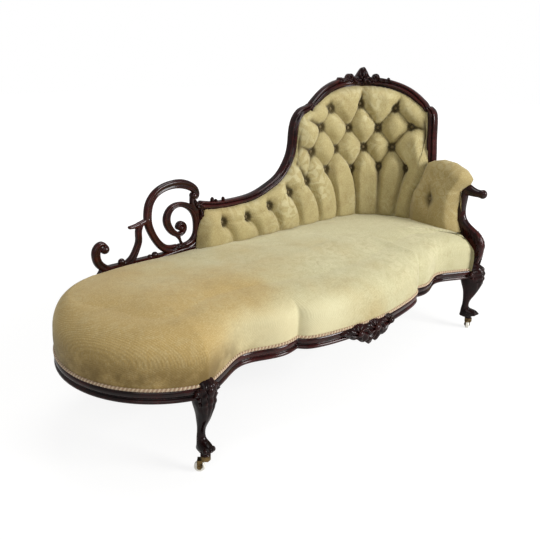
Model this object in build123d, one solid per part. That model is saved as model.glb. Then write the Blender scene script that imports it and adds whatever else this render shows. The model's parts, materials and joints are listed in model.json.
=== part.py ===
"""Serpentine fainting couch with a buttoned, wrapped-round back and castors.

Millimetres. +X runs from the foot end to the head end, +Y to the rear, +Z up.
The origin is at floor level, under the middle of the couch.
"""
import os
from math import cos, pi, sin, sqrt

from build123d import *

# ---- Overall plan ----
LEG_SPACING = 1462.0       # between the axes of the two front legs
FOOT_BOW = 250.0           # rounded foot end, beyond the foot legs
HEAD_REACH = 53.0          # outside of the head frame, beyond the head legs
FRONT_DEPTH = 299.0        # front of the seat frame at the legs, from the middle
REAR_DEPTH = 349.0         # rear of the seat frame, from the middle
CORNER_RADIUS = 315.0      # rear corner at the head end, outside
LEG_HALF = 28.0            # half the width of a leg's square block
LEG_BLOCK = 52.0           # depth of a leg's square block

# ---- Serpentine front ----
CUSP_SPACING = 660.0       # between the two notches of the front rail
HOLLOW_DEPTH = 75.0        # hollow beside each front leg
SWELL_DEPTH = 36.0         # swell beside each notch, inside the leg line
CUSP_DEPTH = 44.0          # notch, inside the leg line
BOW_SHOULDER = 1.0         # shoulder of the bow, inside the leg line
BOW_DEPTH = 35.0           # middle of the bow, outside the leg line

# ---- Seat rails and upholstery levels ----
RAIL_BOTTOM = 240.0
SHOW_TOP = 280.0           # top of the show-wood moulding
RAIL_TOP = 330.0
RAIL_THICKNESS = 30.0
BEAD = 3.0                 # step above and below the rail's bead
BOTTOM_STEP = 9.0          # step at the rail's lower edge
COVER_INSET = 4.0          # cloth, inside the bead's face
CLOTH = 3.0                # cloth with its wadding
BRAID_HEIGHT = 11.0
BRAID_THICKNESS = 2.5
SEAT_CROWN = 446.0         # top of the seat in the middle
SEAT_REAR_FALL = 0.35      # fall of the seat's rear and head edges, as a share of the front's
HESSIAN_LEVEL = 372.0
WEB_LEVEL = 262.0
WEB_THICKNESS = 2.0
WEB_WIDTH = 50.0
LINING_LEVEL = 246.0

# ---- Back frame ----
FRAME_DEPTH = 35.0
SCROLL_END = -154.0        # left end of the sweep rail
SWEEP_LEVEL = 581.0        # middle of the low part of the sweep rail
UPRIGHT_X = 325.0          # middle of the left upright
UPRIGHT_LEVEL = 780.0
CUSP_LEFT = 414.0          # left notch of the crest
CUSP_RIGHT = 39.0          # right notch of the crest, on the head side
CUSP_LEVEL = 918.0
CREST_LEVEL = 1044.0       # top of the crest rail, without its carving
FINIAL_LEVEL = 1081.0
SWEEP_WIDTH = 30.0
UPRIGHT_WIDTH = 38.0
CREST_WIDTH = 42.0
RIGHT_UPRIGHT_Y = 14.0     # middle of the right upright

# ---- Back and arm upholstery ----
POST_INSET = 8.0
SACKING = 1.5
BACK_PAD_DEPTH = 65.0
ARM_LEVEL = 718.0          # top of the arm
ARM_PAD_LEVEL = 690.0      # where the arm meets the right upright
ARM_START = -12.0
ARM_FRONT = -222.0
BUTTON_RADIUS = 7.0
BUTTON_HEIGHT = 4.0

# ---- Arm support ----
SUPPORT_X = 12.0           # beyond the head leg's axis
SUPPORT_THICKNESS = 32.0
SUPPORT_WIDTH = 32.0
HANDHOLD_LEVEL = 610.0
HANDHOLD_REACH = 64.0      # handhold's tip in front of the support's waist

# ---- Scrolls ----
SCROLL_THICKNESS = 22.0
SCROLL_INSET = 3.0
SCROLL_X = -282.0          # middle of the large scroll
SCROLL_Z = 573.0
SCROLL_RADIUS = 114.0
BASE_TOP = 440.0           # top of the board that carries the scrolls

# ---- Legs and castors ----
ANKLE = 26.0
KNEE = 60.0
LEG_FOOT = 41.0            # lower end of a leg
FOOT_WIDTH = 26.0
TOE_RADIUS = 11.0
WHEEL_RADIUS = 16.0
WHEEL_WIDTH = 14.0
AXLE_RADIUS = 3.0
TRAIL = 17.0               # wheel's axle behind the swivel
PINTLE_RADIUS = 4.0
PINTLE_LENGTH = 22.0
CUP_WALL = 2.0
CUP_HEIGHT = 13.0
RUNNING_FIT = 0.05
SIDE_PLAY = 0.3
FORK_PLATE = 3.0

# ---- Springs ----
SPRING_RADIUS = 34.0
SPRING_WIRE = 1.9
SPRING_TURNS = 4

# ---- Worked out from the driving dimensions ----
LENGTH = FOOT_BOW + LEG_SPACING + HEAD_REACH
FOOT_X = FOOT_BOW - LENGTH / 2
HEAD_X = FOOT_X + LEG_SPACING
MIDDLE_X = (FOOT_X + HEAD_X) / 2
HEAD_FACE = HEAD_X + HEAD_REACH
CORNER_X = HEAD_FACE - CORNER_RADIUS
CORNER_Y = REAR_DEPTH - CORNER_RADIUS
MID_RADIUS = CORNER_RADIUS - FRAME_DEPTH / 2
CORNER_LENGTH = MID_RADIUS * pi / 2
LEG_LINE = -FRONT_DEPTH
LEG_AXIS_Y = LEG_LINE + 15.0
REAR_LEG_Y = REAR_DEPTH - 30.0
FAR = 3000.0


def slab(x0, x1, y0, y1, z0, z1):
    """Box between two corners."""
    return Pos((x0 + x1) / 2, (y0 + y1) / 2, (z0 + z1) / 2) * Box(x1 - x0, y1 - y0, z1 - z0)


def one(shape):
    """The shape as one part, whatever list a boolean gave."""
    solids = shape.solids()
    return solids[0] if len(solids) == 1 else Compound(children=list(solids))


def blend(a, b, share):
    """Value between a and b."""
    return a + (b - a) * share


# ---- Plan outline of the seat ----
def front_points(inset):
    """Points of the front edge from the foot leg to the first notch and to the bow."""
    cusp = MIDDLE_X - CUSP_SPACING / 2
    reach = cusp - FOOT_X
    sweep = [(0.0, 0.0), (0.25, 0.57), (0.49, 1.0), (0.73, 0.62)]
    points = [(FOOT_X + reach * a, LEG_LINE + HOLLOW_DEPTH * b + inset) for a, b in sweep]
    points.append((FOOT_X + reach * 0.87, LEG_LINE + SWELL_DEPTH + inset))
    points.append((cusp, LEG_LINE + CUSP_DEPTH + inset))
    half = CUSP_SPACING / 2
    bow = [(cusp, LEG_LINE + CUSP_DEPTH + inset),
           (cusp + 0.05 * half, LEG_LINE + blend(CUSP_DEPTH, BOW_SHOULDER, 0.55) + inset),
           (cusp + 0.2 * half, LEG_LINE + BOW_SHOULDER + inset),
           (cusp + 0.6 * half, LEG_LINE - BOW_DEPTH * 0.68 + inset),
           (MIDDLE_X, LEG_LINE - BOW_DEPTH + inset)]
    return points, bow


def mirrored(points):
    """Points of one half of the front, on the head half."""
    return [(2 * MIDDLE_X - x, y) for x, y in reversed(points)]


def head_sweep(points, inset):
    """The foot sweep mirrored to the head half, drawn in so that it stays inside the head face."""
    cusp = MIDDLE_X + CUSP_SPACING / 2
    share = (HEAD_X - inset - cusp) / (HEAD_X - cusp)
    return [(cusp + (x - cusp) * share, y) for x, y in mirrored(points)]


def seat_outline(inset, back=None):
    """Plan of the seat frame, moved inwards by inset, or by back along the rear and the head."""
    back = inset if back is None else back
    sweep, bow = front_points(inset)
    front, rear, head = LEG_LINE + inset, REAR_DEPTH - back, HEAD_FACE - back
    tip = (FOOT_X - FOOT_BOW + inset, (front + rear) / 2)
    radius = CORNER_RADIUS - back
    middle = (CORNER_X + radius * sin(pi / 4), CORNER_Y + radius * cos(pi / 4))
    edges = [ThreePointArc((FOOT_X, rear), tip, (FOOT_X, front)),
             Spline(*sweep),
             Spline(*(bow + mirrored(bow)[1:])),
             Spline(*head_sweep(sweep, inset)),
             Line((HEAD_X - inset, front), (head, front)),
             Line((head, front), (head, CORNER_Y)),
             ThreePointArc((head, CORNER_Y), middle, (CORNER_X, rear)),
             Line((CORNER_X, rear), (FOOT_X, rear))]
    return make_face(edges)


def seat_prism(inset, z0, z1):
    """Everything inside the seat outline, between two levels."""
    return extrude(Pos(0, 0, z0) * seat_outline(inset), z1 - z0)


def rail_ring():
    """All seat rails as one moulded ring, before it is cut at the legs."""
    bead_low, bead_top = RAIL_BOTTOM + 12.0, SHOW_TOP - 12.0
    steps = [(BOTTOM_STEP, RAIL_BOTTOM, RAIL_BOTTOM + 6.0), (BEAD, RAIL_BOTTOM + 6.0, bead_low),
             (0.0, bead_low, bead_top), (BEAD, bead_top, SHOW_TOP),
             (COVER_INSET + CLOTH, SHOW_TOP, RAIL_TOP)]
    ring = None
    for inset, z0, z1 in steps:
        layer = seat_prism(inset, z0, z1)
        ring = layer if ring is None else ring + layer
    return ring - seat_prism(RAIL_THICKNESS, RAIL_BOTTOM - 1, RAIL_TOP + 1)


def corner_leg_place():
    """Middle of the rear leg at the rounded corner."""
    reach = CORNER_RADIUS - RAIL_THICKNESS / 2 - 8.0
    return CORNER_X + reach * sin(pi / 4), CORNER_Y + reach * cos(pi / 4)


def leg_zones(z0, z1):
    """Boxes that hold the legs' square blocks, from the foot end's front leg on."""
    corner_x, corner_y = corner_leg_place()
    corner = Pos(corner_x, corner_y, (z0 + z1) / 2) * Rot(Z=45) * Box(LEG_HALF * 2, 140.0, z1 - z0)
    low, high = LEG_LINE - 60, LEG_LINE + LEG_BLOCK
    return {
        "front_foot": slab(FOOT_X - LEG_HALF, FOOT_X + LEG_HALF, low, high, z0, z1),
        "front_head": slab(HEAD_X - LEG_HALF, HEAD_FACE + 60, low, high, z0, z1),
        "rear_foot": slab(FOOT_X - LEG_HALF, FOOT_X + LEG_HALF, REAR_DEPTH - LEG_BLOCK,
                          REAR_DEPTH + 60, z0, z1),
        "rear_head": corner,
    }


def block_of(name):
    """Square block at a leg's top, with the outside of the rails."""
    zone = leg_zones(RAIL_BOTTOM, RAIL_TOP)[name]
    show = seat_prism(0.0, RAIL_BOTTOM, SHOW_TOP)
    tack = seat_prism(COVER_INSET + CLOTH, SHOW_TOP, RAIL_TOP)
    block = (show + tack) & zone
    if name == "rear_head":
        depth = CORNER_RADIUS - LEG_BLOCK - 8.0
        block = block - Pos(CORNER_X, CORNER_Y, RAIL_TOP) * Cylinder(depth, FAR)
    return one(block)


def rails():
    """The four seat rails, cut at the leg blocks."""
    ring = rail_ring()
    for zone in leg_zones(RAIL_BOTTOM - 2, RAIL_TOP + 2).values():
        ring = ring - zone
    corner_y = corner_leg_place()[1]
    front_room = slab(FOOT_X, HEAD_X, -FAR, 0, 0, FAR)
    foot = ring & slab(-FAR, FOOT_X, -FAR, FAR, 0, FAR)
    front = ring & front_room
    rear = ring & slab(FOOT_X, FAR, corner_y, FAR, 0, FAR)
    head = (ring & slab(CORNER_X, FAR, -FAR, corner_y, 0, FAR)) - front_room
    return {"foot_rail": one(foot), "front_rail": one(front),
            "rear_rail": one(rear), "head_rail": one(head)}


# ---- Legs ----
def oval(x, y, z, width, depth):
    """Horizontal oval section of a leg."""
    return Pos(x, y, z) * Ellipse(width / 2, depth / 2)


def front_leg(name, x):
    """Cabriole leg with a carved knee, a scrolled toe and its block."""
    low = LEG_FOOT + CUP_HEIGHT + 0.5
    rise = RAIL_BOTTOM - low
    lift = RAIL_TOP - RAIL_BOTTOM
    sections = [(0.0, 0.0, FOOT_WIDTH, FOOT_WIDTH), (0.06, -3.0, FOOT_WIDTH + 2, 40.0),
                (0.15, 4.0, ANKLE + 1, ANKLE + 6), (0.30, 18.0, ANKLE, ANKLE),
                (0.48, 16.0, ANKLE + 4, ANKLE + 4), (0.65, 8.0, 40.0, 42.0),
                (0.81, -3.0, 54.0, 54.0), (1.0, -10.0, KNEE + 4, KNEE + 4)]
    levels = [(low + rise * k, dy, w, d) for k, dy, w, d in sections]
    levels += [(RAIL_BOTTOM + lift * 0.33, -18.0, KNEE + 4, KNEE),
               (RAIL_BOTTOM + lift * 0.62, -14.0, 46.0, 46.0),
               (RAIL_BOTTOM + lift * 0.76, -10.0, 22.0, 26.0)]
    shape = loft([oval(x, LEG_AXIS_Y + dy, z, w, d) for z, dy, w, d in levels])
    shape = shape + spigot(x, LEG_AXIS_Y)
    toe_y, toe_z = LEG_AXIS_Y - 33.0, 92.0
    toe = Pos(x, toe_y, toe_z) * Rot(Y=90) * Cylinder(TOE_RADIUS, FOOT_WIDTH - 2)
    neck_points = [(toe_y + 2, toe_z - 6), (LEG_AXIS_Y - 20, 70.0), (LEG_AXIS_Y, 74.0)]
    neck = Pos(x - FOOT_WIDTH / 2 + 1, 0, 0) * extrude(
        Plane.YZ * ribbon(neck_points, [16.0, 24.0, 30.0]), FOOT_WIDTH - 2)
    leg = shape + toe + neck
    leg = leg - seat_prism(0.0, RAIL_BOTTOM, SHOW_TOP) - seat_form(0.0, SHOW_TOP)
    leg = leg + block_of(name)
    return leg - pintle_socket(x, LEG_AXIS_Y)


def spigot(x, y):
    """Turned end of a leg, which fills its castor's cup."""
    height = CUP_HEIGHT + 1
    return Pos(x, y, LEG_FOOT + height / 2) * Cylinder(FOOT_WIDTH / 2, height)


def rear_leg(name, x, y):
    """Plain swept rear leg with its block."""
    low = LEG_FOOT + CUP_HEIGHT + 0.5
    rise = RAIL_BOTTOM - low
    sections = [(0.0, 0.0, FOOT_WIDTH), (0.27, -3.0, ANKLE + 2), (0.63, -6.0, 38.0),
                (1.0, -4.0, LEG_HALF * 2 - 8)]
    shape = loft([oval(x, y + dy, low + rise * k, w, w) for k, dy, w in sections])
    return shape + spigot(x, y) + block_of(name) - pintle_socket(x, y)


def pintle_socket(x, y):
    """Hole for a castor's pin in a leg's foot."""
    return Pos(x, y, LEG_FOOT + PINTLE_LENGTH / 2) * Cylinder(PINTLE_RADIUS + RUNNING_FIT,
                                                            PINTLE_LENGTH + 2)


# ---- Castors ----
def castor(x, y, angle):
    """Cup, fork, axle and wheel of one castor; the fork trails along angle."""
    place = Pos(x, y, 0) * Rot(Z=angle)
    floor_z = LEG_FOOT - CUP_WALL
    cup_radius = FOOT_WIDTH / 2 + CUP_WALL
    height = CUP_HEIGHT + CUP_WALL
    cup = Pos(0, 0, floor_z + height / 2) * Cylinder(cup_radius, height)
    cup = cup - Pos(0, 0, LEG_FOOT + CUP_HEIGHT / 2 + 1) * Cylinder(FOOT_WIDTH / 2, CUP_HEIGHT + 2)
    cup = cup - Pos(0, 0, floor_z) * Cylinder(PINTLE_RADIUS + RUNNING_FIT, CUP_WALL * 4)
    fork_top = floor_z - SIDE_PLAY
    crown_low = fork_top - FORK_PLATE
    half_gap = WHEEL_WIDTH / 2 + SIDE_PLAY
    length = TRAIL + PINTLE_RADIUS + 8.0
    crown = slab(-TRAIL - 7, PINTLE_RADIUS + 5, -half_gap - FORK_PLATE, half_gap + FORK_PLATE,
                 crown_low, fork_top)
    fork = crown + Pos(0, 0, fork_top + PINTLE_LENGTH / 2) * Cylinder(PINTLE_RADIUS, PINTLE_LENGTH)
    for side in (-1, 1):
        y0 = side * (half_gap + FORK_PLATE / 2)
        cheek = slab(-TRAIL - 7, -TRAIL + 9, y0 - FORK_PLATE / 2, y0 + FORK_PLATE / 2,
                     WHEEL_RADIUS, crown_low + 0.5)
        eye = Pos(-TRAIL, y0, WHEEL_RADIUS) * Rot(X=90) * Cylinder(7.0, FORK_PLATE)
        fork = fork + cheek + eye
    axle_hole = Pos(-TRAIL, 0, WHEEL_RADIUS) * Rot(X=90) * Cylinder(AXLE_RADIUS, 80)
    fork = fork - axle_hole
    axle_length = 2 * (half_gap + FORK_PLATE)
    axle = Pos(-TRAIL, 0, WHEEL_RADIUS) * Rot(X=90) * Cylinder(AXLE_RADIUS, axle_length)
    for side in (-1, 1):
        head_y = side * (half_gap + FORK_PLATE + 0.75)
        axle = axle + Pos(-TRAIL, head_y, WHEEL_RADIUS) * Rot(X=90) * Cylinder(AXLE_RADIUS + 1.5, 1.5)
    tyre = Cylinder(WHEEL_RADIUS, WHEEL_WIDTH)
    tyre = fillet(tyre.edges(), 3.0)
    wheel = tyre - Cylinder(AXLE_RADIUS + RUNNING_FIT, WHEEL_WIDTH * 2)
    wheel = Pos(-TRAIL, 0, WHEEL_RADIUS) * Rot(X=90) * wheel
    return {"cup": place * cup, "fork": place * fork, "axle": place * axle, "wheel": place * wheel}


# ---- Flat bars for scrolls and sweeps ----
def bar_edges(points, widths):
    """Left and right edge points of a bar along a smooth line."""
    line = Spline(*points)
    steps = 5 * (len(points) - 1)
    spans = [sqrt((b[0] - a[0]) ** 2 + (b[1] - a[1]) ** 2) for a, b in zip(points, points[1:])]
    marks = [sum(spans[:i]) / sum(spans) for i in range(len(points))]
    left, right = [], []
    for i in range(steps + 1):
        t = i / steps
        k = max(j for j in range(len(marks) - 1) if marks[j] <= t + 1e-9)
        share = (t - marks[k]) / (marks[k + 1] - marks[k])
        half = blend(widths[k], widths[k + 1], min(share, 1.0)) / 2
        spot, along = line @ t, line % t
        left.append((spot.X - along.Y * half, spot.Y + along.X * half))
        right.append((spot.X + along.Y * half, spot.Y - along.X * half))
    return left, right


def ribbon(points, widths):
    """Face of a bar along a smooth line, with its width at each point."""
    left, right = bar_edges(points, widths)
    return make_face([Spline(*left), Line(left[-1], right[-1]),
                      Spline(*reversed(right)), Line(right[0], left[0])])


def disc(x, z, radius):
    """Round face."""
    return Pos(x, z) * Circle(radius)


def rear_board(face, front_y, rear_y):
    """Board in the rear plane from a face in X and Z."""
    plane = Plane(origin=(0, rear_y, 0), x_dir=(1, 0, 0), z_dir=(0, -1, 0))
    return extrude(plane * face, rear_y - front_y)


# ---- Back frame ----
def sweep_points():
    """Middle line of the sweep rail and the left upright, in X and Z."""
    run = UPRIGHT_X - SCROLL_END
    rise = UPRIGHT_LEVEL - SWEEP_LEVEL
    low = [(0.0, 0.01), (0.25, 0.0), (0.5, 0.04), (0.64, 0.115), (0.77, 0.23),
           (0.88, 0.42), (0.95, 0.66), (1.0, 1.0)]
    points = [(SCROLL_END + run * a, SWEEP_LEVEL + rise * b) for a, b in low]
    step = CUSP_LEFT - UPRIGHT_X
    lift = CUSP_LEVEL - UPRIGHT_LEVEL
    high = [(0.07, 0.45), (0.19, 0.76), (0.5, 0.95), (1.0, 1.0)]
    return points + [(UPRIGHT_X + step * a, UPRIGHT_LEVEL + lift * b) for a, b in high]


def sweep_widths(extra=0.0):
    """Width of the sweep rail and left upright at each point."""
    widths = [SWEEP_WIDTH] * 5 + [blend(SWEEP_WIDTH, UPRIGHT_WIDTH, 0.5)] + [UPRIGHT_WIDTH] * 4
    return [w + extra for w in widths + [blend(SWEEP_WIDTH, UPRIGHT_WIDTH, 0.2), SWEEP_WIDTH * 0.8]]


def crest_mid():
    """Developed length at the middle of the crest."""
    right = CORNER_X + CORNER_LENGTH + CORNER_Y - CUSP_RIGHT
    return (CUSP_LEFT + right) / 2, (right - CUSP_LEFT) / 2


def crest_line(width, margin=0.0):
    """Points of a crest edge in developed length and height, width below its top."""
    middle, half = crest_mid()
    rise = CREST_LEVEL - CUSP_LEVEL
    shape = [(-1.03, 0.04, 0.42), (-0.9, 0.42, 0.52), (-0.74, 0.68, 0.72), (-0.45, 0.9, 0.92),
             (0.0, 1.0, 1.0)]
    shape = shape + [(-a, b, c) for a, b, c in reversed(shape[:-1])]
    return [(middle + half * a, CUSP_LEVEL + rise * b - width * c - margin) for a, b, c in shape]


def wrap(length, depth):
    """Plan place of a developed length along the back, depth inside its outer face."""
    if length <= CORNER_X:
        return length, REAR_DEPTH - depth
    if length <= CORNER_X + CORNER_LENGTH:
        angle = (length - CORNER_X) / MID_RADIUS
        radius = CORNER_RADIUS - depth
        return CORNER_X + radius * sin(angle), CORNER_Y + radius * cos(angle)
    return HEAD_FACE - depth, CORNER_Y - (length - CORNER_X - CORNER_LENGTH)


def diagonal(length):
    """Place of a developed length along the diagonal plane at the crest's middle."""
    x0, y0 = wrap(crest_mid()[0], FRAME_DEPTH / 2)
    x, y = wrap(length, FRAME_DEPTH / 2)
    return ((x - x0) - (y - y0)) / sqrt(2)


def diagonal_prism(face):
    """Prism of a face drawn on the diagonal plane, through the rounded corner."""
    x0, y0 = wrap(crest_mid()[0], FRAME_DEPTH / 2)
    plane = Plane(origin=(x0, y0, 0), x_dir=(1, -1, 0), z_dir=(-1, -1, 0))
    return extrude(plane * face, 500, both=True)


def back_band(outer, inner, z0, z1):
    """Upright band round the back between two depths."""
    def plan(depth):
        radius = CORNER_RADIUS - depth
        middle = (CORNER_X + radius * sin(pi / 4), CORNER_Y + radius * cos(pi / 4))
        rear, head = REAR_DEPTH - depth, HEAD_FACE - depth
        return [(SCROLL_END, rear), (CORNER_X, rear), middle, (head, CORNER_Y), (head, LEG_LINE)]
    a, b = plan(outer), plan(inner)
    edges = [Line(a[0], a[1]), ThreePointArc(a[1], a[2], a[3]), Line(a[3], a[4]), Line(a[4], b[4]),
             Line(b[4], b[3]), ThreePointArc(b[3], b[2], b[1]), Line(b[1], b[0]), Line(b[0], a[0])]
    return extrude(Pos(0, 0, z0) * make_face(edges), z1 - z0)


def crest_rail():
    """Crest rail between its two notches, round the corner."""
    top = [(diagonal(s), z) for s, z in crest_line(0.0)]
    low = [(diagonal(s), z) for s, z in crest_line(CREST_WIDTH)]
    face = make_face([Spline(*top), Line(top[-1], low[-1]), Spline(*reversed(low)), Line(low[0], top[0])])
    band = back_band(0.0, FRAME_DEPTH, CUSP_LEVEL - 200, FINIAL_LEVEL + 50)
    room = slab(CUSP_LEFT, FAR, CUSP_RIGHT, FAR, 0, FAR)
    return one(band & diagonal_prism(face) & room)


def crest_carving():
    """Carved leaves and finial on the crest, seated on its top."""
    middle = crest_mid()[0]
    top = [(diagonal(s), z) for s, z in crest_line(0.0)]
    rise = FINIAL_LEVEL - CREST_LEVEL
    heights = [(-115, -0.3), (-98, 0.22), (-84, 0.02), (-70, 0.5), (-52, 0.42), (-38, 0.16),
               (-22, 0.55), (-10, 0.72), (0, 1.0)]
    heights = heights + [(-a, b) for a, b in reversed(heights[:-1])]
    crown = [(diagonal(middle + a), CREST_LEVEL + rise * b) for a, b in heights]
    foot = CUSP_LEVEL + 20
    outline = [(crown[0][0], foot)] + crown + [(crown[-1][0], foot)]
    face = make_face(Polyline(*outline, close=True))
    low = make_face([Spline(*top), Line(top[-1], (top[-1][0], foot - 90)),
                     Line((top[-1][0], foot - 90), (top[0][0], foot - 90)),
                     Line((top[0][0], foot - 90), top[0])])
    band = back_band(6.0, FRAME_DEPTH - 3.0, CUSP_LEVEL, FINIAL_LEVEL + 50)
    carving = (band & diagonal_prism(face)) - diagonal_prism(low)
    return one(carving)


def sweep_rail():
    """Sweep rail with the left upright, up to the crest's left notch."""
    face = ribbon(sweep_points(), sweep_widths())
    room = slab(SCROLL_END, CUSP_LEFT, -FAR, FAR, 0, FAR)
    rail = rear_board(face, REAR_DEPTH - FRAME_DEPTH, REAR_DEPTH) & room
    return one(rail - crest_rail())


def right_upright():
    """Right upright, from the crest's right notch down to the arm."""
    top = CUSP_LEVEL - 16.0
    points = [(CUSP_RIGHT, top), (CUSP_RIGHT - 12, top - 8), (RIGHT_UPRIGHT_Y + 3, top - 36),
              (RIGHT_UPRIGHT_Y, UPRIGHT_LEVEL + 20), (RIGHT_UPRIGHT_Y, ARM_PAD_LEVEL)]
    widths = [SWEEP_WIDTH * 0.8, SWEEP_WIDTH, UPRIGHT_WIDTH, UPRIGHT_WIDTH, UPRIGHT_WIDTH]
    face = ribbon(points, widths)
    board = extrude(Plane.YZ * face, FRAME_DEPTH)
    board = Pos(HEAD_FACE - FRAME_DEPTH, 0, 0) * board
    room = slab(0, FAR, -FAR, CUSP_RIGHT, ARM_PAD_LEVEL, FAR)
    return one((board & room) - crest_rail())


def back_posts():
    """Three hidden posts from the seat rails up to the back frame."""
    y0, y1 = REAR_DEPTH - FRAME_DEPTH, REAR_DEPTH - POST_INSET
    posts = []
    for x, top in ((SCROLL_END + 42, SWEEP_LEVEL), (UPRIGHT_X, UPRIGHT_LEVEL - 40)):
        post = slab(x - 16, x + 16, y0, y1, RAIL_TOP, top)
        posts.append(one(post - sweep_rail()))
    x0, x1 = HEAD_FACE - FRAME_DEPTH, HEAD_FACE - POST_INSET
    posts.append(slab(x0, x1, RIGHT_UPRIGHT_Y - 16, RIGHT_UPRIGHT_Y + 16, RAIL_TOP, ARM_PAD_LEVEL))
    return Compound(children=[lowest_piece(p) for p in posts])


def lowest_piece(shape):
    """The piece that stands on the rail, where a cut left more than one."""
    return min(shape.solids(), key=lambda s: s.bounding_box().min.Z)


# ---- Back upholstery ----
def opening_edge(margin):
    """Top edge of the framed opening, as developed length and height."""
    right = bar_edges(sweep_points(), sweep_widths(2 * margin))[1]
    crest = crest_line(CREST_WIDTH, margin)
    points = [p for p in right if p[0] < crest[1][0] - 12] + crest[1:-1]
    end = head_length(RIGHT_UPRIGHT_Y + UPRIGHT_WIDTH / 2 + margin)
    points = [p for p in points if p[0] < end - 2]
    low = UPRIGHT_LEVEL + 60
    points += [(end, low), (end + 0.5, ARM_PAD_LEVEL - margin), (end + FAR, ARM_PAD_LEVEL - margin)]
    clean = [points[0]]
    for p in points[1:]:
        if p[0] > clean[-1][0] + 0.2:
            clean.append(p)
    return clean


def head_length(y):
    """Developed length at a place on the head side."""
    return CORNER_X + CORNER_LENGTH + CORNER_Y - y


def edge_height(edge, length):
    """Height of an edge at a developed length."""
    for (sa, za), (sb, zb) in zip(edge, edge[1:]):
        if sa <= length <= sb:
            return blend(za, zb, (length - sa) / (sb - sa))
    return edge[-1][1]


def back_stations(margin=0.0):
    """Developed lengths at which the back's layers change, the same for all layers."""
    start, end = SCROLL_END + 22, head_length(ARM_START)
    stops = [p[0] for p in opening_edge(1.0)[:-1] if start + 6 < p[0] < end - 8]
    bounds = [start] + stops + [end]
    stations = [start + margin]
    for a, b in zip(bounds, bounds[1:]):
        parts = max(1, round((b - a) / 34.0))
        stations += [blend(a, b, (i + 1) / parts) for i in range(parts)]
    stations[-1] = end - margin
    return stations


def back_layer(outer, inner, z0, margin, trim=0.0):
    """Layer of the back between two depths, up to the framed opening."""
    edge = opening_edge(margin)
    sections = []
    for length in back_stations(trim):
        top = edge_height(edge, length)
        (xa, ya), (xb, yb) = wrap(length, outer), wrap(length, inner)
        quad = [Vector(xa, ya, z0), Vector(xb, yb, z0), Vector(xb, yb, top), Vector(xa, ya, top)]
        sections.append(Face(Wire.make_polygon(quad, close=True)))
    return loft(sections, ruled=True)


def back_parts():
    """Outside cover, sacking, stuffing and buttoned cover of the back."""
    front = FRAME_DEPTH + SACKING
    low = RAIL_TOP + 2
    outside = back_layer(COVER_INSET, COVER_INSET + CLOTH, SHOW_TOP, 12.0)
    outside = outside - seat_prism(COVER_INSET + CLOTH, SHOW_TOP - 1, RAIL_TOP)
    sacking = back_layer(FRAME_DEPTH, front, low, 1.0)
    outer = back_layer(front, BACK_PAD_DEPTH, low, 1.0)
    inner = back_layer(front, BACK_PAD_DEPTH - CLOTH, low, 1.0 + CLOTH, CLOTH)
    return {"outside_back_cover": biggest(outside), "back_sacking": sacking,
            "back_stuffing": inner, "back_cover": one(outer - inner)}


def button_places():
    """Buttons of the back as developed length and height."""
    middle, half = crest_mid()
    rows = [(0.82, (-0.6, -0.02, 0.52)), (0.66, (-0.8, -0.24, 0.26, 0.78)),
            (0.46, (-0.97, -0.46, 0.06, 0.52)), (0.28, (-0.65, -0.13, 0.33, 0.77))]
    floor_z = SEAT_CROWN
    places = []
    for share, spots in rows:
        z = blend(floor_z, CREST_LEVEL, share * 0.955)
        places += [(middle + half * spot, z) for spot in spots]
    low = [(0.92, 0.205), (0.73, 0.150), (0.53, 0.100), (0.33, 0.070), (0.15, 0.070)]
    run = CUSP_LEFT - SCROLL_END
    return places + [(SCROLL_END + run * a, blend(floor_z, CREST_LEVEL, b + 0.06)) for a, b in low]


def back_buttons():
    """Covered buttons on the face of the back."""
    pad = back_layer(FRAME_DEPTH + SACKING, BACK_PAD_DEPTH, RAIL_TOP + 2, 1.0)
    buttons = []
    for length, z in button_places():
        x, y = wrap(length, BACK_PAD_DEPTH)
        xa, ya = wrap(length, BACK_PAD_DEPTH + 10)
        plane = Plane(origin=(x, y, z), z_dir=(xa - x, ya - y, 0))
        button = extrude(plane * Circle(BUTTON_RADIUS), BUTTON_HEIGHT)
        buttons.append(biggest(button - pad))
    return buttons


# ---- Arm ----
def support_points():
    """Middle line of the arm support, in Y and Z."""
    waist = LEG_LINE + 107.0
    return [(LEG_LINE + 12, RAIL_TOP - 4), (LEG_LINE + 18, 368.0), (LEG_LINE + 42, 405.0),
            (waist - 18, 440.0), (waist, 480.0), (waist - 1, 530.0), (waist, 570.0),
            (waist + 2, HANDHOLD_LEVEL + 2)]


SUPPORT_WIDTHS = [SUPPORT_WIDTH * k for k in (1.5, 2.0, 1.75, 1.3, 1.1, 1.1, 1.1, 1.1)]


def arm_support():
    """Scrolled support from the head leg's block to the handhold."""
    left, right = bar_edges(support_points(), SUPPORT_WIDTHS)
    x0 = HEAD_X + SUPPORT_X - SUPPORT_THICKNESS / 2
    post = make_face(Polyline(*left, *reversed(right), close=True))
    post = Pos(x0, 0, 0) * extrude(Plane.YZ * post, SUPPORT_THICKNESS)
    waist, tip, top = left[-1][0], LEG_LINE + 107.0 - HANDHOLD_REACH - 26, HANDHOLD_LEVEL
    hold = slab(x0 + 1, x0 + SUPPORT_THICKNESS - 1, tip, waist + 20, top - 26, top - 2)
    knob = Pos(x0 + SUPPORT_THICKNESS / 2, tip, top - 14) * Rot(Y=90)
    knob = knob * Cylinder(SUPPORT_WIDTH * 0.42, SUPPORT_THICKNESS - 4)
    room = slab(0, FAR, -FAR, FAR, RAIL_TOP, top - 6)
    return one((post & room) + hold + knob)


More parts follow.
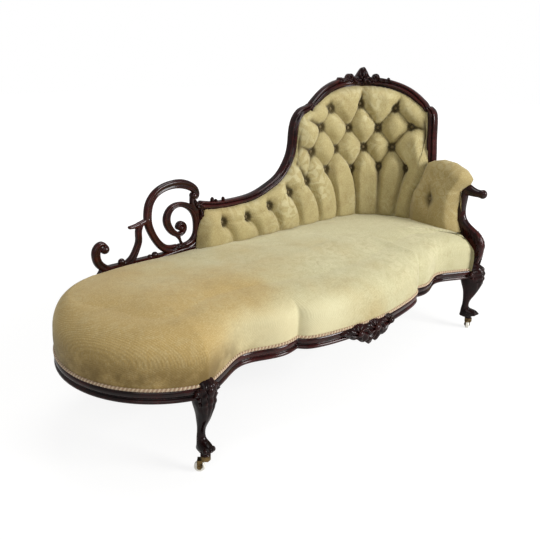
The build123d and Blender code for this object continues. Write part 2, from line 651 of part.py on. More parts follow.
def arm_stations(inset):
    """Sections of the arm as Y, inner face and top."""
    rise = ARM_LEVEL - ARM_PAD_LEVEL
    inner = HEAD_FACE - BACK_PAD_DEPTH
    rows = [(ARM_START - inset, inner - 3, 0.0), (-60.0, inner - 22, 0.7), (-110.0, inner - 38, 1.0),
            (-160.0, inner - 47, 0.85), (-196.0, inner - 44, 0.2), (ARM_FRONT + inset, inner - 30, -1.0)]
    return [(y, x + inset, ARM_PAD_LEVEL + rise * k - inset) for y, x, k in rows]


def arm_form(inset):
    """Rounded arm, from the rail up, before the support is cut from it."""
    outer = HEAD_FACE - COVER_INSET - CLOTH - inset
    sections = []
    for y, inner, top in arm_stations(inset):
        half = (outer - inner) / 2
        spring = top - half * 0.9
        low = RAIL_TOP + 2
        edges = [Line((inner, y, low), (outer, y, low)), Line((outer, y, low), (outer, y, spring)),
                 ThreePointArc((outer, y, spring), ((inner + outer) / 2, y, top), (inner, y, spring)),
                 Line((inner, y, spring), (inner, y, low))]
        sections.append(Face(Wire(edges)))
    return loft(sections, ruled=True)


def arm_front_cut(shift):
    """What lies in front of the support's inner edge, shifted to the rear."""
    inner = bar_edges(support_points(), SUPPORT_WIDTHS)[1]
    edge = [p for p in inner if p[0] > LEG_LINE + 20]
    far = LEG_LINE - 200
    shelf = HANDHOLD_LEVEL + 14 + shift
    edge = [(y + shift, z) for y, z in edge if z < HANDHOLD_LEVEL - 12]
    outline = [(far, RAIL_TOP - 40), (edge[0][0], RAIL_TOP - 40)] + edge
    outline += [(edge[-1][0], shelf), (far, shelf)]
    face = make_face(Polyline(*outline, close=True))
    return extrude(Plane.YZ * face, FAR)


def arm_parts():
    """Rail, stuffing, cover, outside cover and button of the arm."""
    support = arm_support()
    bar_x = HEAD_FACE - FRAME_DEPTH + 1
    bar = slab(bar_x, bar_x + 24, ARM_FRONT + 32, RIGHT_UPRIGHT_Y - 16,
               HANDHOLD_LEVEL - 10, HANDHOLD_LEVEL + 38)
    bar = biggest(bar - support)
    outer = arm_form(0.0) - arm_front_cut(0.5)
    inner = arm_form(CLOTH) - arm_front_cut(CLOTH + 0.5)
    cover = outer - inner - bar - support
    stuffing = inner - bar - support
    sheet = slab(HEAD_FACE - COVER_INSET - CLOTH, HEAD_FACE - COVER_INSET, LEG_LINE + LEG_BLOCK + 30,
                 ARM_START, SHOW_TOP, HANDHOLD_LEVEL - 20)
    button_y = -96.0
    inner_x = arm_inner_face(button_y)
    plane = Plane(origin=(inner_x, button_y, ARM_LEVEL - 165.0), z_dir=(-1, -0.35, 0))
    button = extrude(plane * Circle(BUTTON_RADIUS), BUTTON_HEIGHT)
    button = Pos(-0.4, -0.2, 0) * button
    return {"arm_rail": bar, "arm_stuffing": biggest(stuffing), "arm_cover": biggest(cover),
            "outside_arm_cover": sheet, "arm_button": one(button - outer)}


def arm_inner_face(y):
    """Inner face of the arm at a place along it."""
    rows = arm_stations(0.0)
    for (ya, xa, _), (yb, xb, _) in zip(rows, rows[1:]):
        if yb <= y <= ya:
            return blend(xa, xb, (ya - y) / (ya - yb))
    return rows[-1][1]


def biggest(shape):
    """The largest solid of a cut shape."""
    return max(shape.solids(), key=lambda s: s.volume)


# ---- Seat upholstery ----
def seat_form(inset, base):
    """Crowned seat, moved inwards by inset, from base up."""
    rise = SEAT_CROWN - SHOW_TOP
    levels = [(0.0, 0.0), (BRAID_HEIGHT / rise, 0.0), (0.36, -1.0), (0.56, 4.0), (0.68, 14.0),
              (0.77, 30.0), (0.86, 56.0), (0.93, 92.0), (0.975, 136.0), (1.0, 190.0)]
    sections = []
    for share, step in levels:
        z = base if share == 0.0 else SHOW_TOP + rise * share - inset * share
        edge = COVER_INSET + inset
        sections.append(Pos(0, 0, z) * seat_outline(edge + step, edge + step * SEAT_REAR_FALL))
    return loft(sections, ruled=True)


def seat_room(inset):
    """Plan region that the seat may fill, clear of the back, the arm and the scroll board."""
    depth = BACK_PAD_DEPTH + inset
    rear = REAR_DEPTH - depth
    board = REAR_DEPTH - SCROLL_INSET - SCROLL_THICKNESS - inset
    left = SCROLL_END + 22 - inset
    arm = [(x - inset, y) for y, x, _ in arm_stations(0.0)]
    front_x = HEAD_X - LEG_HALF + 4 - inset
    start = FOOT_X + 30 - inset
    back = [wrap(length, depth) for length in back_stations()[1:]]
    points = [(-FAR, -FAR), (front_x, -FAR), (front_x, ARM_FRONT - inset), (arm[-1][0], ARM_FRONT - inset)]
    points += list(reversed(arm)) + list(reversed(back))
    points += [(left, rear), (left, board), (start, board), (start, FAR), (-FAR, FAR)]
    return extrude(Pos(0, 0, SHOW_TOP - 60) * make_face(Polyline(*points, close=True)), 400)


def frame_room(z0, z1):
    """Space inside the rails and the leg blocks."""
    room = seat_prism(RAIL_THICKNESS, z0, z1)
    for zone in leg_zones(z0 - 1, z1 + 1).values():
        room = room - zone
    return one(room)


def springs():
    """Rows of coil springs between the webbing and the hessian."""
    height = HESSIAN_LEVEL - WEB_LEVEL - 2 * WEB_THICKNESS - 2 * SPRING_WIRE - 0.4
    path = Helix(pitch=height / SPRING_TURNS, height=height, radius=SPRING_RADIUS)
    start = Plane(origin=path @ 0, z_dir=path % 0)
    coil = sweep(start * Circle(SPRING_WIRE), path=path, is_frenet=True)
    base = WEB_LEVEL + 2 * WEB_THICKNESS + SPRING_WIRE + 0.2
    coils = []
    for x, y in spring_places():
        coils.append(Pos(x, y, base) * coil)
    return coils


def spring_places():
    """Plan places of the springs, three rows along the seat."""
    columns = 9
    first, last = FOOT_X - 60, HEAD_X - 150
    places = []
    for i in range(columns):
        x = blend(first, last, i / (columns - 1))
        for y in (-140.0, 20.0, 180.0):
            places.append((x, y))
    return places


def webbing():
    """Lengthwise and crosswise straps under the springs."""
    room = frame_room(WEB_LEVEL, WEB_LEVEL + 2 * WEB_THICKNESS)
    straps = []
    for y in (-140.0, 20.0, 180.0):
        strip = slab(-FAR, FAR, y - WEB_WIDTH / 2, y + WEB_WIDTH / 2, WEB_LEVEL, WEB_LEVEL + WEB_THICKNESS)
        straps += list((room & strip).solids())
    for x in sorted({place[0] for place in spring_places()}):
        strip = slab(x - WEB_WIDTH / 2, x + WEB_WIDTH / 2, -FAR, FAR, WEB_LEVEL + WEB_THICKNESS,
                     WEB_LEVEL + 2 * WEB_THICKNESS)
        straps += list((room & strip).solids())
    return straps


def seat_parts(leg):
    """Cover, stuffing, hessian, lining and braid of the seat, the braid cut at the foot leg's knee."""
    outer = seat_form(0.0, SHOW_TOP) & seat_room(0.5)
    inner = seat_form(CLOTH - 0.3, SHOW_TOP - 5) & seat_room(1.5 + CLOTH)
    cover = outer - inner - seat_prism(COVER_INSET + CLOTH, SHOW_TOP - 1, RAIL_TOP)
    stuffing = inner & slab(-FAR, FAR, -FAR, FAR, RAIL_TOP, FAR)
    core = seat_prism(RAIL_THICKNESS + 4, RAIL_TOP - 1, HESSIAN_LEVEL + SACKING)
    stuffing = stuffing - core
    hessian = seat_prism(RAIL_THICKNESS + 4, HESSIAN_LEVEL, HESSIAN_LEVEL + SACKING) & seat_room(5.0)
    lining = frame_room(LINING_LEVEL, LINING_LEVEL + SACKING)
    ring = seat_prism(COVER_INSET - BRAID_THICKNESS, SHOW_TOP, SHOW_TOP + BRAID_HEIGHT)
    ring = ring - seat_prism(COVER_INSET, SHOW_TOP - 1, SHOW_TOP + BRAID_HEIGHT + 1)
    ring = ring & slab(-FAR, HEAD_X - LEG_HALF, -FAR, FAR, 0, FAR)
    ring = ring - slab(FOOT_X + 30, FAR, 0, FAR, 0, FAR) - leg
    return {"seat_cover": biggest(cover), "seat_stuffing": biggest(stuffing),
            "seat_hessian": biggest(hessian), "bottom_lining": lining, "gimp_braid": list(ring.solids())}


def corner_blocks():
    """Glue blocks beside the front and rear foot legs, and the head leg."""
    z0, z1 = SHOW_TOP + 4, RAIL_TOP - 6
    room = frame_room(z0, z1)
    high = LEG_LINE + LEG_BLOCK
    zones = [slab(FOOT_X - 70, FOOT_X + 70, LEG_LINE, high + 22, z0, z1),
             slab(FOOT_X - 70, FOOT_X + 70, REAR_DEPTH - LEG_BLOCK - 22, REAR_DEPTH, z0, z1),
             slab(HEAD_X - 80, HEAD_FACE, LEG_LINE, high + 24, z0, z1)]
    return [biggest(room & zone) for zone in zones]


def cross_rails():
    """Two cross rails between the front and rear rails."""
    bars = []
    columns = sorted({place[0] for place in spring_places()})
    for x in ((columns[2] + columns[3]) / 2, (columns[5] + columns[6]) / 2):
        bar = seat_prism(RAIL_THICKNESS, SHOW_TOP, SHOW_TOP + 28) & slab(x - 18, x + 18, -FAR, FAR, 0, FAR)
        bars.append(one(bar))
    return bars


# ---- Carving on the front rail ----
def cartouche():
    """Carved cabochons and leaves on the bow of the front rail."""
    middle = MIDDLE_X - 68.0
    level = (RAIL_BOTTOM + SHOW_TOP) / 2 + 2
    face_y = LEG_LINE - BOW_DEPTH * 0.9
    body = None
    spots = [(-78.0, 6.0, 26.0, 17.0), (-30.0, -6.0, 30.0, 27.0), (24.0, 4.0, 36.0, 26.0),
             (82.0, 8.0, 28.0, 15.0)]
    for dx, dz, rx, rz in spots:
        lump = Pos(middle + dx, face_y, level + dz) * scale(Sphere(1.0), by=(rx, 24.0, rz))
        body = lump if body is None else body + lump
    drop = Pos(middle - 2, face_y - 1, RAIL_BOTTOM - 8) * scale(Sphere(1.0), by=(22.0, 14.0, 22.0))
    body = body + drop
    body = body - seat_prism(0.0, 0, SHOW_TOP)
    body = body - seat_prism(COVER_INSET - BRAID_THICKNESS - 0.5, SHOW_TOP - 1, FAR)
    return biggest(body & slab(-FAR, FAR, -FAR, face_y + 8, 0, FAR))


# ---- Scrolls ----
def scroll_point(angle, radius):
    """Point round the large scroll's middle; angle in degrees from +X."""
    turn = angle * pi / 180
    return SCROLL_X + radius * cos(turn), SCROLL_Z + radius * sin(turn)


def back_scroll():
    """Large pierced scroll with its inner curl."""
    r = SCROLL_RADIUS
    outer = [scroll_point(a, r * k) for a, k in
             ((27, 1.06), (52, 1.06), (82, 0.99), (112, 0.99), (142, 0.98), (172, 0.98),
              (204, 0.99), (232, 1.03), (257, 1.08), (274, 1.12), (292, 1.18))]
    outer_face = ribbon(outer, [26, 28, 28, 28, 26, 24, 26, 28, 30, 32, 34])
    curl = disc(outer[0][0] + 2, outer[0][1] - 4, 17)
    loop = [scroll_point(a, r * k) for a, k in
            ((12, 0.76), (-12, 0.92), (-33, 1.1), (-50, 1.22), (-68, 1.16))]
    loop_face = ribbon(loop, [30, 34, 34, 34, 30])
    spiral = [scroll_point(a, r * k) for a, k in
              ((6, 0.78), (27, 0.62), (62, 0.38), (112, 0.29), (170, 0.27), (212, 0.31),
               (248, 0.50), (268, 0.66))]
    spiral_face = ribbon(spiral, [28, 24, 22, 22, 22, 22, 20, 15])
    ball = disc(SCROLL_X + 18, SCROLL_Z - 45, 22)
    stem = ribbon([(SCROLL_X + 2, SCROLL_Z - 72), (SCROLL_X + 14, SCROLL_Z - 98), (SCROLL_X + 30, SCROLL_Z - 128)],
                  [13, 9, 16])
    face = outer_face + curl + loop_face + spiral_face + ball + stem
    rear_y = REAR_DEPTH - SCROLL_INSET
    board = rear_board(face, rear_y - SCROLL_THICKNESS, rear_y)
    board = board & slab(-FAR, SCROLL_END, -FAR, FAR, BASE_TOP, FAR)
    return biggest(board)


def scroll_knot():
    """Leaf knot where the scroll meets the sweep rail, over the end of the upholstery."""
    x0 = SCROLL_END
    face = ribbon([(x0 + 10, SWEEP_LEVEL + 12), (x0 + 8, SWEEP_LEVEL - 40), (x0 + 11, BASE_TOP + 40),
                   (x0 + 11, RAIL_TOP)], [18, 20, 18, 18])
    rear_y = REAR_DEPTH - SCROLL_INSET
    board = rear_board(face, rear_y - SCROLL_THICKNESS, rear_y)
    board = board & slab(x0, x0 + 21, -FAR, FAR, RAIL_TOP, FAR)
    return biggest(board - sweep_rail())


def foot_scroll():
    """Small scroll, bud and horn at the foot side of the large scroll."""
    x0 = FOOT_X
    ball = disc(x0 + 57, BASE_TOP + 63, 24)
    small = ribbon([(x0 + 43, BASE_TOP + 58), (x0 + 44, BASE_TOP + 30), (x0 + 60, BASE_TOP + 8),
                    (x0 + 90, BASE_TOP - 12)], [22, 24, 24, 30])
    bud = disc(x0 + 125, BASE_TOP + 8, 15)
    horn_top = (SCROLL_X - SCROLL_RADIUS - 16, SCROLL_Z - 4)
    horn = ribbon([(horn_top[0] + 10, horn_top[1]), (horn_top[0] - 20, horn_top[1] - 24),
                   (horn_top[0] - 20, horn_top[1] - 60), (horn_top[0] - 34, horn_top[1] - 94),
                   (horn_top[0] - 58, BASE_TOP - 8)], [20, 22, 23, 24, 34])
    leaf = ribbon([(horn_top[0] + 14, horn_top[1] - 4), (horn_top[0] - 16, horn_top[1] - 10),
                   (horn_top[0] - 52, horn_top[1] - 13)], [18, 16, 5])
    nub = disc(SCROLL_X - 104, BASE_TOP + 2, 13)
    rear_y = REAR_DEPTH - SCROLL_INSET
    pieces = []
    for face in (small + ball, bud, horn + leaf, nub):
        board = rear_board(face, rear_y - SCROLL_THICKNESS, rear_y)
        board = board & slab(-FAR, FAR, -FAR, FAR, BASE_TOP, FAR)
        pieces.append(biggest(board - back_scroll()))
    return pieces


def scroll_board():
    """Board on the rear rail that carries the scrolls, behind the seat."""
    x0, x1 = FOOT_X + 30, SCROLL_END
    face = make_face(Polyline((x0, SHOW_TOP), (x1, SHOW_TOP), (x1, BASE_TOP), (x0 + 22, BASE_TOP),
                              (x0, BASE_TOP - 30), close=True))
    rear_y = REAR_DEPTH - SCROLL_INSET
    board = rear_board(face, rear_y - SCROLL_THICKNESS, rear_y)
    board = board - seat_prism(COVER_INSET + CLOTH, SHOW_TOP - 20, RAIL_TOP)
    rail_front = slab(-FAR, FAR, -FAR, REAR_DEPTH - COVER_INSET - CLOTH, SHOW_TOP - 20, RAIL_TOP)
    return biggest(board - rail_front)


def sweep_buds():
    """Two carved buds on top of the sweep rail."""
    left = bar_edges(sweep_points(), sweep_widths())[0]
    buds = []
    for place in (SCROLL_END + 62, SCROLL_END + 108):
        near = min(left, key=lambda p: abs(p[0] - place))
        face = disc(place, near[1] + 4, 9)
        board = rear_board(face, REAR_DEPTH - FRAME_DEPTH + 8, REAR_DEPTH - 8)
        buds.append(biggest(board - sweep_rail()))
    return buds


def write(name, shape):
    """Write one node, as one solid or as a group of solids."""
    solids = []
    for piece in shape if isinstance(shape, list) else [shape]:
        solids += list(piece.solids())
    shape = solids[0] if len(solids) == 1 else Compound(children=solids)
    export_step(shape, f"parts/{name}.step")


def main():
    """Build every node and write it."""
    os.makedirs("parts", exist_ok=True)
    for name, shape in rails().items():
        write(name, shape)
    corner_x, corner_y = corner_leg_place()
    legs = {
        "front_foot": (front_leg("front_foot", FOOT_X), FOOT_X, LEG_AXIS_Y, -44),
        "front_head": (front_leg("front_head", HEAD_X), HEAD_X, LEG_AXIS_Y, 215),
        "rear_foot": (rear_leg("rear_foot", FOOT_X, REAR_LEG_Y), FOOT_X, REAR_LEG_Y, 190),
        "rear_head": (rear_leg("rear_head", corner_x, corner_y), corner_x, corner_y, 165),
    }
    for name, (shape, x, y, angle) in legs.items():
        pieces = castor(x, y, angle)
        write(f"leg_{name}", one(shape))
        for kind, piece in pieces.items():
            write(f"castor_{kind}_{name}", piece)
    write("crest_rail", crest_rail())
    write("crest_carving", crest_carving())
    write("sweep_rail", sweep_rail())
    write("right_upright", right_upright())
    write("back_posts", back_posts())
    for name, shape in back_parts().items():
        write(name, shape)
    write("back_buttons", back_buttons())
    write("arm_support", arm_support())
    for name, shape in arm_parts().items():
        write(name, shape)
    for name, shape in seat_parts(legs["front_foot"][0]).items():
        write(name, shape)
    write("seat_springs", springs())
    write("seat_webbing", webbing())
    write("corner_blocks", corner_blocks())
    write("cross_rails", cross_rails())
    write("front_cartouche", cartouche())
    write("back_scroll", back_scroll())
    write("scroll_knot", scroll_knot())
    write("foot_scroll", foot_scroll())
    write("scroll_board", scroll_board())
    write("sweep_buds", sweep_buds())


main()
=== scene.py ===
"""Looks of a serpentine fainting couch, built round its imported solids.

Metres, in the frame of the solids: +X from the foot end to the head end, +Y to the rear, +Z up.
Shapes on the back are drawn by developed length s along its face, height z and depth inside it.
"""
import json
import logging
import math
from dataclasses import dataclass
from enum import Enum
from typing import Callable, Sequence

import bmesh
import bpy
import numpy as np
from mathutils import Matrix, Vector


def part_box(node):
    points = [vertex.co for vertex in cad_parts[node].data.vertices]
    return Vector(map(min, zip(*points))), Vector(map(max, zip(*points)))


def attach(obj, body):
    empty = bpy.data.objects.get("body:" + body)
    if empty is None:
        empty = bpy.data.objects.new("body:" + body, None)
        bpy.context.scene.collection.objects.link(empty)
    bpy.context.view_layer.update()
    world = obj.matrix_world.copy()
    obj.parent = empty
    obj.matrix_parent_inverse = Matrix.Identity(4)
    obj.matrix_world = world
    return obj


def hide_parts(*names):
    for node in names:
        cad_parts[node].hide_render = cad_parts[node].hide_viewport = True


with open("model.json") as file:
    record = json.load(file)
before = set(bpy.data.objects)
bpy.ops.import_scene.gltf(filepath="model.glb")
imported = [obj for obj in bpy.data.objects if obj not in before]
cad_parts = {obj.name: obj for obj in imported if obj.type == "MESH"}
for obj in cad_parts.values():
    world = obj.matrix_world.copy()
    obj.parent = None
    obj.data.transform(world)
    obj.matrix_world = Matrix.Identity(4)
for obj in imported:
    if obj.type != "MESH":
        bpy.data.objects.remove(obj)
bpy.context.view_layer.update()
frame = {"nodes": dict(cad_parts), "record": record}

LOG = logging.getLogger("couch")
Array = np.ndarray
Place = Callable[[Array, Array, Array], Array]
Pair, Triple = tuple[float, float], tuple[float, float, float]
Four = tuple[float, float, float, float]
Object, Material = bpy.types.Object, bpy.types.Material
Tree, Node, Socket = bpy.types.NodeTree, bpy.types.Node, bpy.types.NodeSocket
COUCH = "couch"
WELD = 1e-6                # points closer than this become one


# ---- lines and meshes
def spline(points: Sequence[Sequence[float]], count: int, dims: int = 2) -> Array:
    """Natural cubic spline through points.

    Args:
        points: Points of the line; columns after dims are carried along, such as a width.
        count: How many points to return, evenly spread by length.
        dims: How many columns are coordinates.

    Returns:
        Array of count rows.
    """
    p = np.asarray(points, float)
    t = run_along(p[:, :dims])
    n, h = len(p), np.diff(t)
    system, right = np.eye(n), np.zeros_like(p)
    for i in range(1, n - 1):
        system[i, i - 1:i + 2] = h[i - 1], 2 * (h[i - 1] + h[i]), h[i]
        right[i] = 6 * ((p[i + 1] - p[i]) / h[i] - (p[i] - p[i - 1]) / h[i - 1])
    bend = np.linalg.solve(system, right)
    q = np.linspace(0, t[-1], count)
    k = np.clip(np.searchsorted(t, q, side="right") - 1, 0, n - 2)
    a, b, hk = (t[k + 1] - q)[:, None], (q - t[k])[:, None], h[k][:, None]
    return (bend[k] * a**3 + bend[k + 1] * b**3) / (6 * hk) \
        + (p[k] / hk - bend[k] * hk / 6) * a + (p[k + 1] / hk - bend[k + 1] * hk / 6) * b


def run_along(points: Array) -> Array:
    """Length along a line up to each of its points."""
    return np.concatenate([[0.0], np.cumsum(np.linalg.norm(np.diff(points, axis=0), axis=1))])


def mm(*points: Sequence[float]) -> tuple[tuple[float, ...], ...]:
    """Points given in millimetres, in metres."""
    return tuple(tuple(value / 1000 for value in point) for point in points)


def unit(v: Array) -> Array:
    """Rows of v at length one."""
    return v / np.maximum(np.linalg.norm(v, axis=-1, keepdims=True), 1e-12)


def ease(value: Array, low: float, high: float) -> Array:
    """Smooth step from 0 at low to 1 at high."""
    t = np.clip((value - low) / (high - low), 0, 1)
    return t * t * (3 - 2 * t)


def grid_faces(n: int, m: int, ring: bool, first: int = 0) -> list[tuple[int, ...]]:
    """Quads between the rows of a grid.

    Args:
        n: Rows.
        m: Points in each row.
        ring: Whether each row closes on itself.
        first: Index of the grid's first point.

    Returns:
        Faces as point indices.
    """
    faces = []
    for i in range(n - 1):
        a, b = first + i * m, first + (i + 1) * m
        for j in range(m if ring else m - 1):
            k = (j + 1) % m
            faces.append((a + j, a + k, b + k, b + j))
    return faces


def mesh_object(name: str, grids: Sequence[Array], material: Material, *, ring: bool = True,
                cloth: Sequence[Array] | None = None) -> Object:
    """One smooth mesh object made of one or more grids of points.

    Args:
        name: Object name.
        grids: Arrays of rows, points and coordinates.
        material: Its finish.
        ring: Whether rows close on themselves, with the open ends filled.
        cloth: Flat cloth coordinates of each grid's points, for woven finishes; the third value
            sets painted shade.

    Returns:
        The object, riding on the couch body.
    """
    points, faces, flat = [], [], []
    for index, grid in enumerate(grids):
        n, m = grid.shape[:2]
        first = sum(len(p) for p in points)
        points.append(grid.reshape(-1, 3))
        faces += grid_faces(n, m, ring, first)
        if cloth is not None:
            flat.append(cloth[index].reshape(-1, 3))
        if ring:
            faces.append(tuple(first + j for j in reversed(range(m))))
            faces.append(tuple(first + (n - 1) * m + j for j in range(m)))
    mesh = bpy.data.meshes.new(name)
    mesh.from_pydata(np.concatenate(points).tolist(), [], faces)
    if cloth is not None:
        layer = mesh.attributes.new("cloth", "FLOAT_VECTOR", "POINT")
        layer.data.foreach_set("vector", np.concatenate(flat).astype(np.float32).ravel())
    work = bmesh.new()
    work.from_mesh(mesh)
    bmesh.ops.remove_doubles(work, verts=work.verts, dist=WELD)
    if ring:
        bmesh.ops.recalc_face_normals(work, faces=work.faces)
    work.to_mesh(mesh)
    work.free()
    mesh.polygons.foreach_set("use_smooth", [True] * len(mesh.polygons))
    mesh.materials.append(material)
    made = bpy.data.objects.new(name, mesh)
    bpy.context.scene.collection.objects.link(made)
    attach(made, COUCH)
    return made


# ---- plan of the couch
@dataclass(frozen=True)
class BackPlan:
    """Plan of the back: along the rear, round the corner, along the head."""

    rear: float = 0.349
    head: float = 0.8825
    radius: float = 0.315
    frame: float = 0.035

    @property
    def corner(self) -> float:
        """Developed length where the corner starts."""
        return self.head - self.radius

    @property
    def turn(self) -> float:
        """Developed length of the corner."""
        return (self.radius - self.frame / 2) * math.pi / 2

    def place(self, s: Array, z: Array, depth: Array) -> Array:
        """Points at developed length s, height z and depth inside the outer face.

        Args:
            s: Developed length.
            z: Height.
            depth: Depth inside the outer face.

        Returns:
            Points in space.
        """
        s, z, depth = np.broadcast_arrays(*(np.asarray(v, float) for v in (s, z, depth)))
        angle = np.clip((s - self.corner) / (self.radius - self.frame / 2), 0, math.pi / 2)
        reach = self.radius - depth
        x = np.where(s <= self.corner, s, self.corner + reach * np.sin(angle))
        past = np.maximum(s - self.corner - self.turn, 0)
        y = self.rear - self.radius + reach * np.cos(angle) - past
        return np.stack([x, y, z], -1)

    def length_at(self, y: float) -> float:
        """Developed length at a place y on the head side."""
        return self.corner + self.turn + self.rear - self.radius - y


PLAN = BackPlan()


@dataclass(frozen=True)
class SeatPlan:
    """Serpentine outline of the seat frame."""

    foot: float = -0.6325
    head: float = 0.8295
    bow: float = 0.25
    front: float = -0.299
    middle: float = 0.0985
    cusp: float = 0.33

    def half_front(self, inset: float) -> tuple[Array, Array]:
        """The foot sweep and half of the bow, as splined points.

        Args:
            inset: How far inside the frame's face.

        Returns:
            The sweep's points and the bow's points, in plan.
        """
        start, reach = self.foot, self.middle - self.cusp - self.foot
        hollow = ((0, 0), (0.25, 0.043), (0.49, 0.075), (0.73, 0.0465), (0.87, 0.036), (1, 0.044))
        sweep = [(start + reach * a, self.front + b + inset) for a, b in hollow]
        bow = ((0, 0.044), (0.05, 0.0247), (0.2, 0.001), (0.6, -0.0238), (1, -0.035))
        half = [(self.middle - self.cusp + self.cusp * a, self.front + b + inset) for a, b in bow]
        full = half + [(2 * self.middle - x, y) for x, y in reversed(half[:-1])]
        return spline(sweep, 90), spline(full, 160)

    def outline(self, inset: float, count: int) -> tuple[Array, Array]:
        """Closed outline, from the rear end of the foot arc round the foot, front, head and rear.

        Args:
            inset: How far inside the frame's face.
            count: Points round the outline.

        Returns:
            Points in plan and their outward normals.
        """
        sweep, bow = self.half_front(inset)
        low, high = self.front + inset, PLAN.rear - inset
        tip = self.foot - self.bow + inset
        half = (high - low) / 2
        drop = self.foot - tip
        radius = (half * half + drop * drop) / (2 * drop)
        span = math.asin(min(1.0, half / radius))
        span = span if drop < radius else math.pi - span
        angle = np.linspace(math.pi - span, math.pi + span, 140)
        centre = (tip + radius, (low + high) / 2)
        arc = np.stack([centre[0] + radius * np.cos(angle), centre[1] + radius * np.sin(angle)], -1)
        face = PLAN.head - inset
        cut = 2 * self.middle - sweep[::-1, 0]
        share = (self.head - inset - cut[0]) / (self.head - cut[0])
        right = np.stack([cut[0] + (cut - cut[0]) * share, sweep[::-1, 1]], -1)
        s = np.linspace(PLAN.length_at(low), self.foot, 300)[1:-1]
        back = PLAN.place(s, 0.0, inset)[:, :2]
        path = np.concatenate([arc, sweep[1:], bow[1:], right[1:], [(face, low)], back])
        closed = np.concatenate([path, path[:1]])
        run = run_along(closed)
        q = np.linspace(0, run[-1], count, endpoint=False)
        points = np.stack([np.interp(q, run, closed[:, k]) for k in (0, 1)], -1)
        along = unit(np.roll(points, -1, 0) - np.roll(points, 1, 0))
        return points, np.stack([along[:, 1], -along[:, 0]], -1)


SEAT = SeatPlan()


# ---- shader helpers
class Graph:
    """Adds and joins nodes in one shader tree."""

    def __init__(self, tree: Tree) -> None:
        """Keep the tree and start clean."""
        self.tree = tree
        tree.nodes.clear()

    def add(self, kind: str, inputs: dict | None = None, **settings: object) -> Node:
        """A node with its settings and inputs; an input may be a value or another node's socket.

        Args:
            kind: The node's type.
            inputs: A value or another node's socket, by input.
            settings: The node's properties.

        Returns:
            The node.
        """
        node = self.tree.nodes.new(kind)
        for key, value in settings.items():
            setattr(node, key, value)
        for key, value in (inputs or {}).items():
            self.feed(value, node.inputs[key])
        return node

    def feed(self, value: object, socket: Socket) -> None:
        """Join a socket to an input, or set the input's value.

        Args:
            value: A value or another node's socket.
            socket: The input.
        """
        if isinstance(value, Socket):
            self.tree.links.new(value, socket)
        elif isinstance(value, tuple) and len(value) == 3 and socket.type == "RGBA":
            socket.default_value = (*value, 1.0)
        else:
            socket.default_value = value

    def calc(self, operation: str, a: object, b: object = 0.0) -> Socket:
        """Result of a math node."""
        return self.add("ShaderNodeMath", {0: a, 1: b}, operation=operation).outputs[0]

    def times(self, a: object, b: object) -> Socket:
        """Product of a and b."""
        return self.calc("MULTIPLY", a, b)

    def plus(self, a: object, b: object) -> Socket:
        """Sum of a and b."""
        return self.calc("ADD", a, b)

    def minus(self, a: object, b: object) -> Socket:
        """What is left of a without b."""
        return self.calc("SUBTRACT", a, b)

    def mix(self, share: object, a: object, b: object) -> Socket:
        """Colour between a and b."""
        return self.add("ShaderNodeMix", {0: share, 6: a, 7: b}, data_type="RGBA").outputs[2]

    def span(self, value: object, low: float, high: float, to: Pair = (0.0, 1.0)) -> Socket:
        """Value moved from low and high to another range, smoothly and clamped.

        Args:
            value: What is moved.
            low: Start of its range.
            high: End of its range.
            to: The new range.

        Returns:
            The moved value.
        """
        node = self.add("ShaderNodeMapRange", {0: value, 1: low, 2: high, 3: to[0], 4: to[1]},
                        interpolation_type="SMOOTHSTEP")
        return node.outputs[0]

    def noise(
            self, where: object, scale: float, detail: float = 3.0, rough: float = 0.55) -> Socket:
        """Noise at a place."""
        given = {"Vector": where, "Scale": scale, "Detail": detail, "Roughness": rough}
        return self.add("ShaderNodeTexNoise", given).outputs[0]

    def group(self, tree: Tree, **inputs: object) -> Node:
        """A placed node group with its inputs.

        Args:
            tree: The group.
            inputs: A value or a socket, by input name.

        Returns:
            The group's node.
        """
        node = self.add("ShaderNodeGroup", node_tree=tree)
        for key, value in inputs.items():
            self.feed(value, node.inputs[key])
        return node


def group_tree(name: str, inputs: dict[str, tuple[str, object]], outputs: dict[str, str]
               ) -> tuple[Tree, Graph, dict, Node]:
    """A new shader node group.

    Args:
        name: Its name.
        inputs: Socket type and starting value by input name.
        outputs: Socket type by output name.

    Returns:
        The tree, its graph, the input sockets by name and the output node.
    """
    tree = bpy.data.node_groups.new(name, "ShaderNodeTree")
    graph = Graph(tree)
    for key, (kind, value) in inputs.items():
        socket = tree.interface.new_socket(key, in_out="INPUT", socket_type=kind)
        if value is not None:
            socket.default_value = value
    for key, kind in outputs.items():
        tree.interface.new_socket(key, in_out="OUTPUT", socket_type=kind)
    given = graph.add("NodeGroupInput")
    made = graph.add("NodeGroupOutput")
    return tree, graph, {key: given.outputs[key] for key in inputs}, made


def rib_group() -> Tree:
    """Woven diagonal rib: threads along two directions, with slubs.

    Returns:
        The group.
    """
    tree, g, given, made = group_tree(
        "woven_rib", {"Place": ("NodeSocketVector", None), "Pitch": ("NodeSocketFloat", 0.004)},
        {"Height": "NodeSocketFloat", "Fleck": "NodeSocketFloat"})
    parts = g.add("ShaderNodeSeparateXYZ", {0: given["Place"]})
    turn = g.calc("DIVIDE", math.tau, given["Pitch"])
    slope = g.plus(g.times(parts.outputs[0], 0.93), g.times(parts.outputs[1], 0.37))
    across = g.minus(g.times(parts.outputs[1], 0.93), g.times(parts.outputs[0], 0.37))
    wobble = g.noise(given["Place"], 60.0, 2.0)
    rib = g.calc("SINE", g.plus(g.times(slope, turn), g.times(wobble, 3.0)))
    thread = g.calc("SINE", g.times(across, g.times(turn, 1.6)))
    height = g.plus(g.times(rib, 0.35), g.times(thread, 0.15))
    g.feed(g.plus(height, 0.5), made.inputs["Height"])
    g.feed(g.span(g.noise(given["Place"], 420.0, 2.0, 0.7), 0.35, 0.68), made.inputs["Fleck"])
    return tree


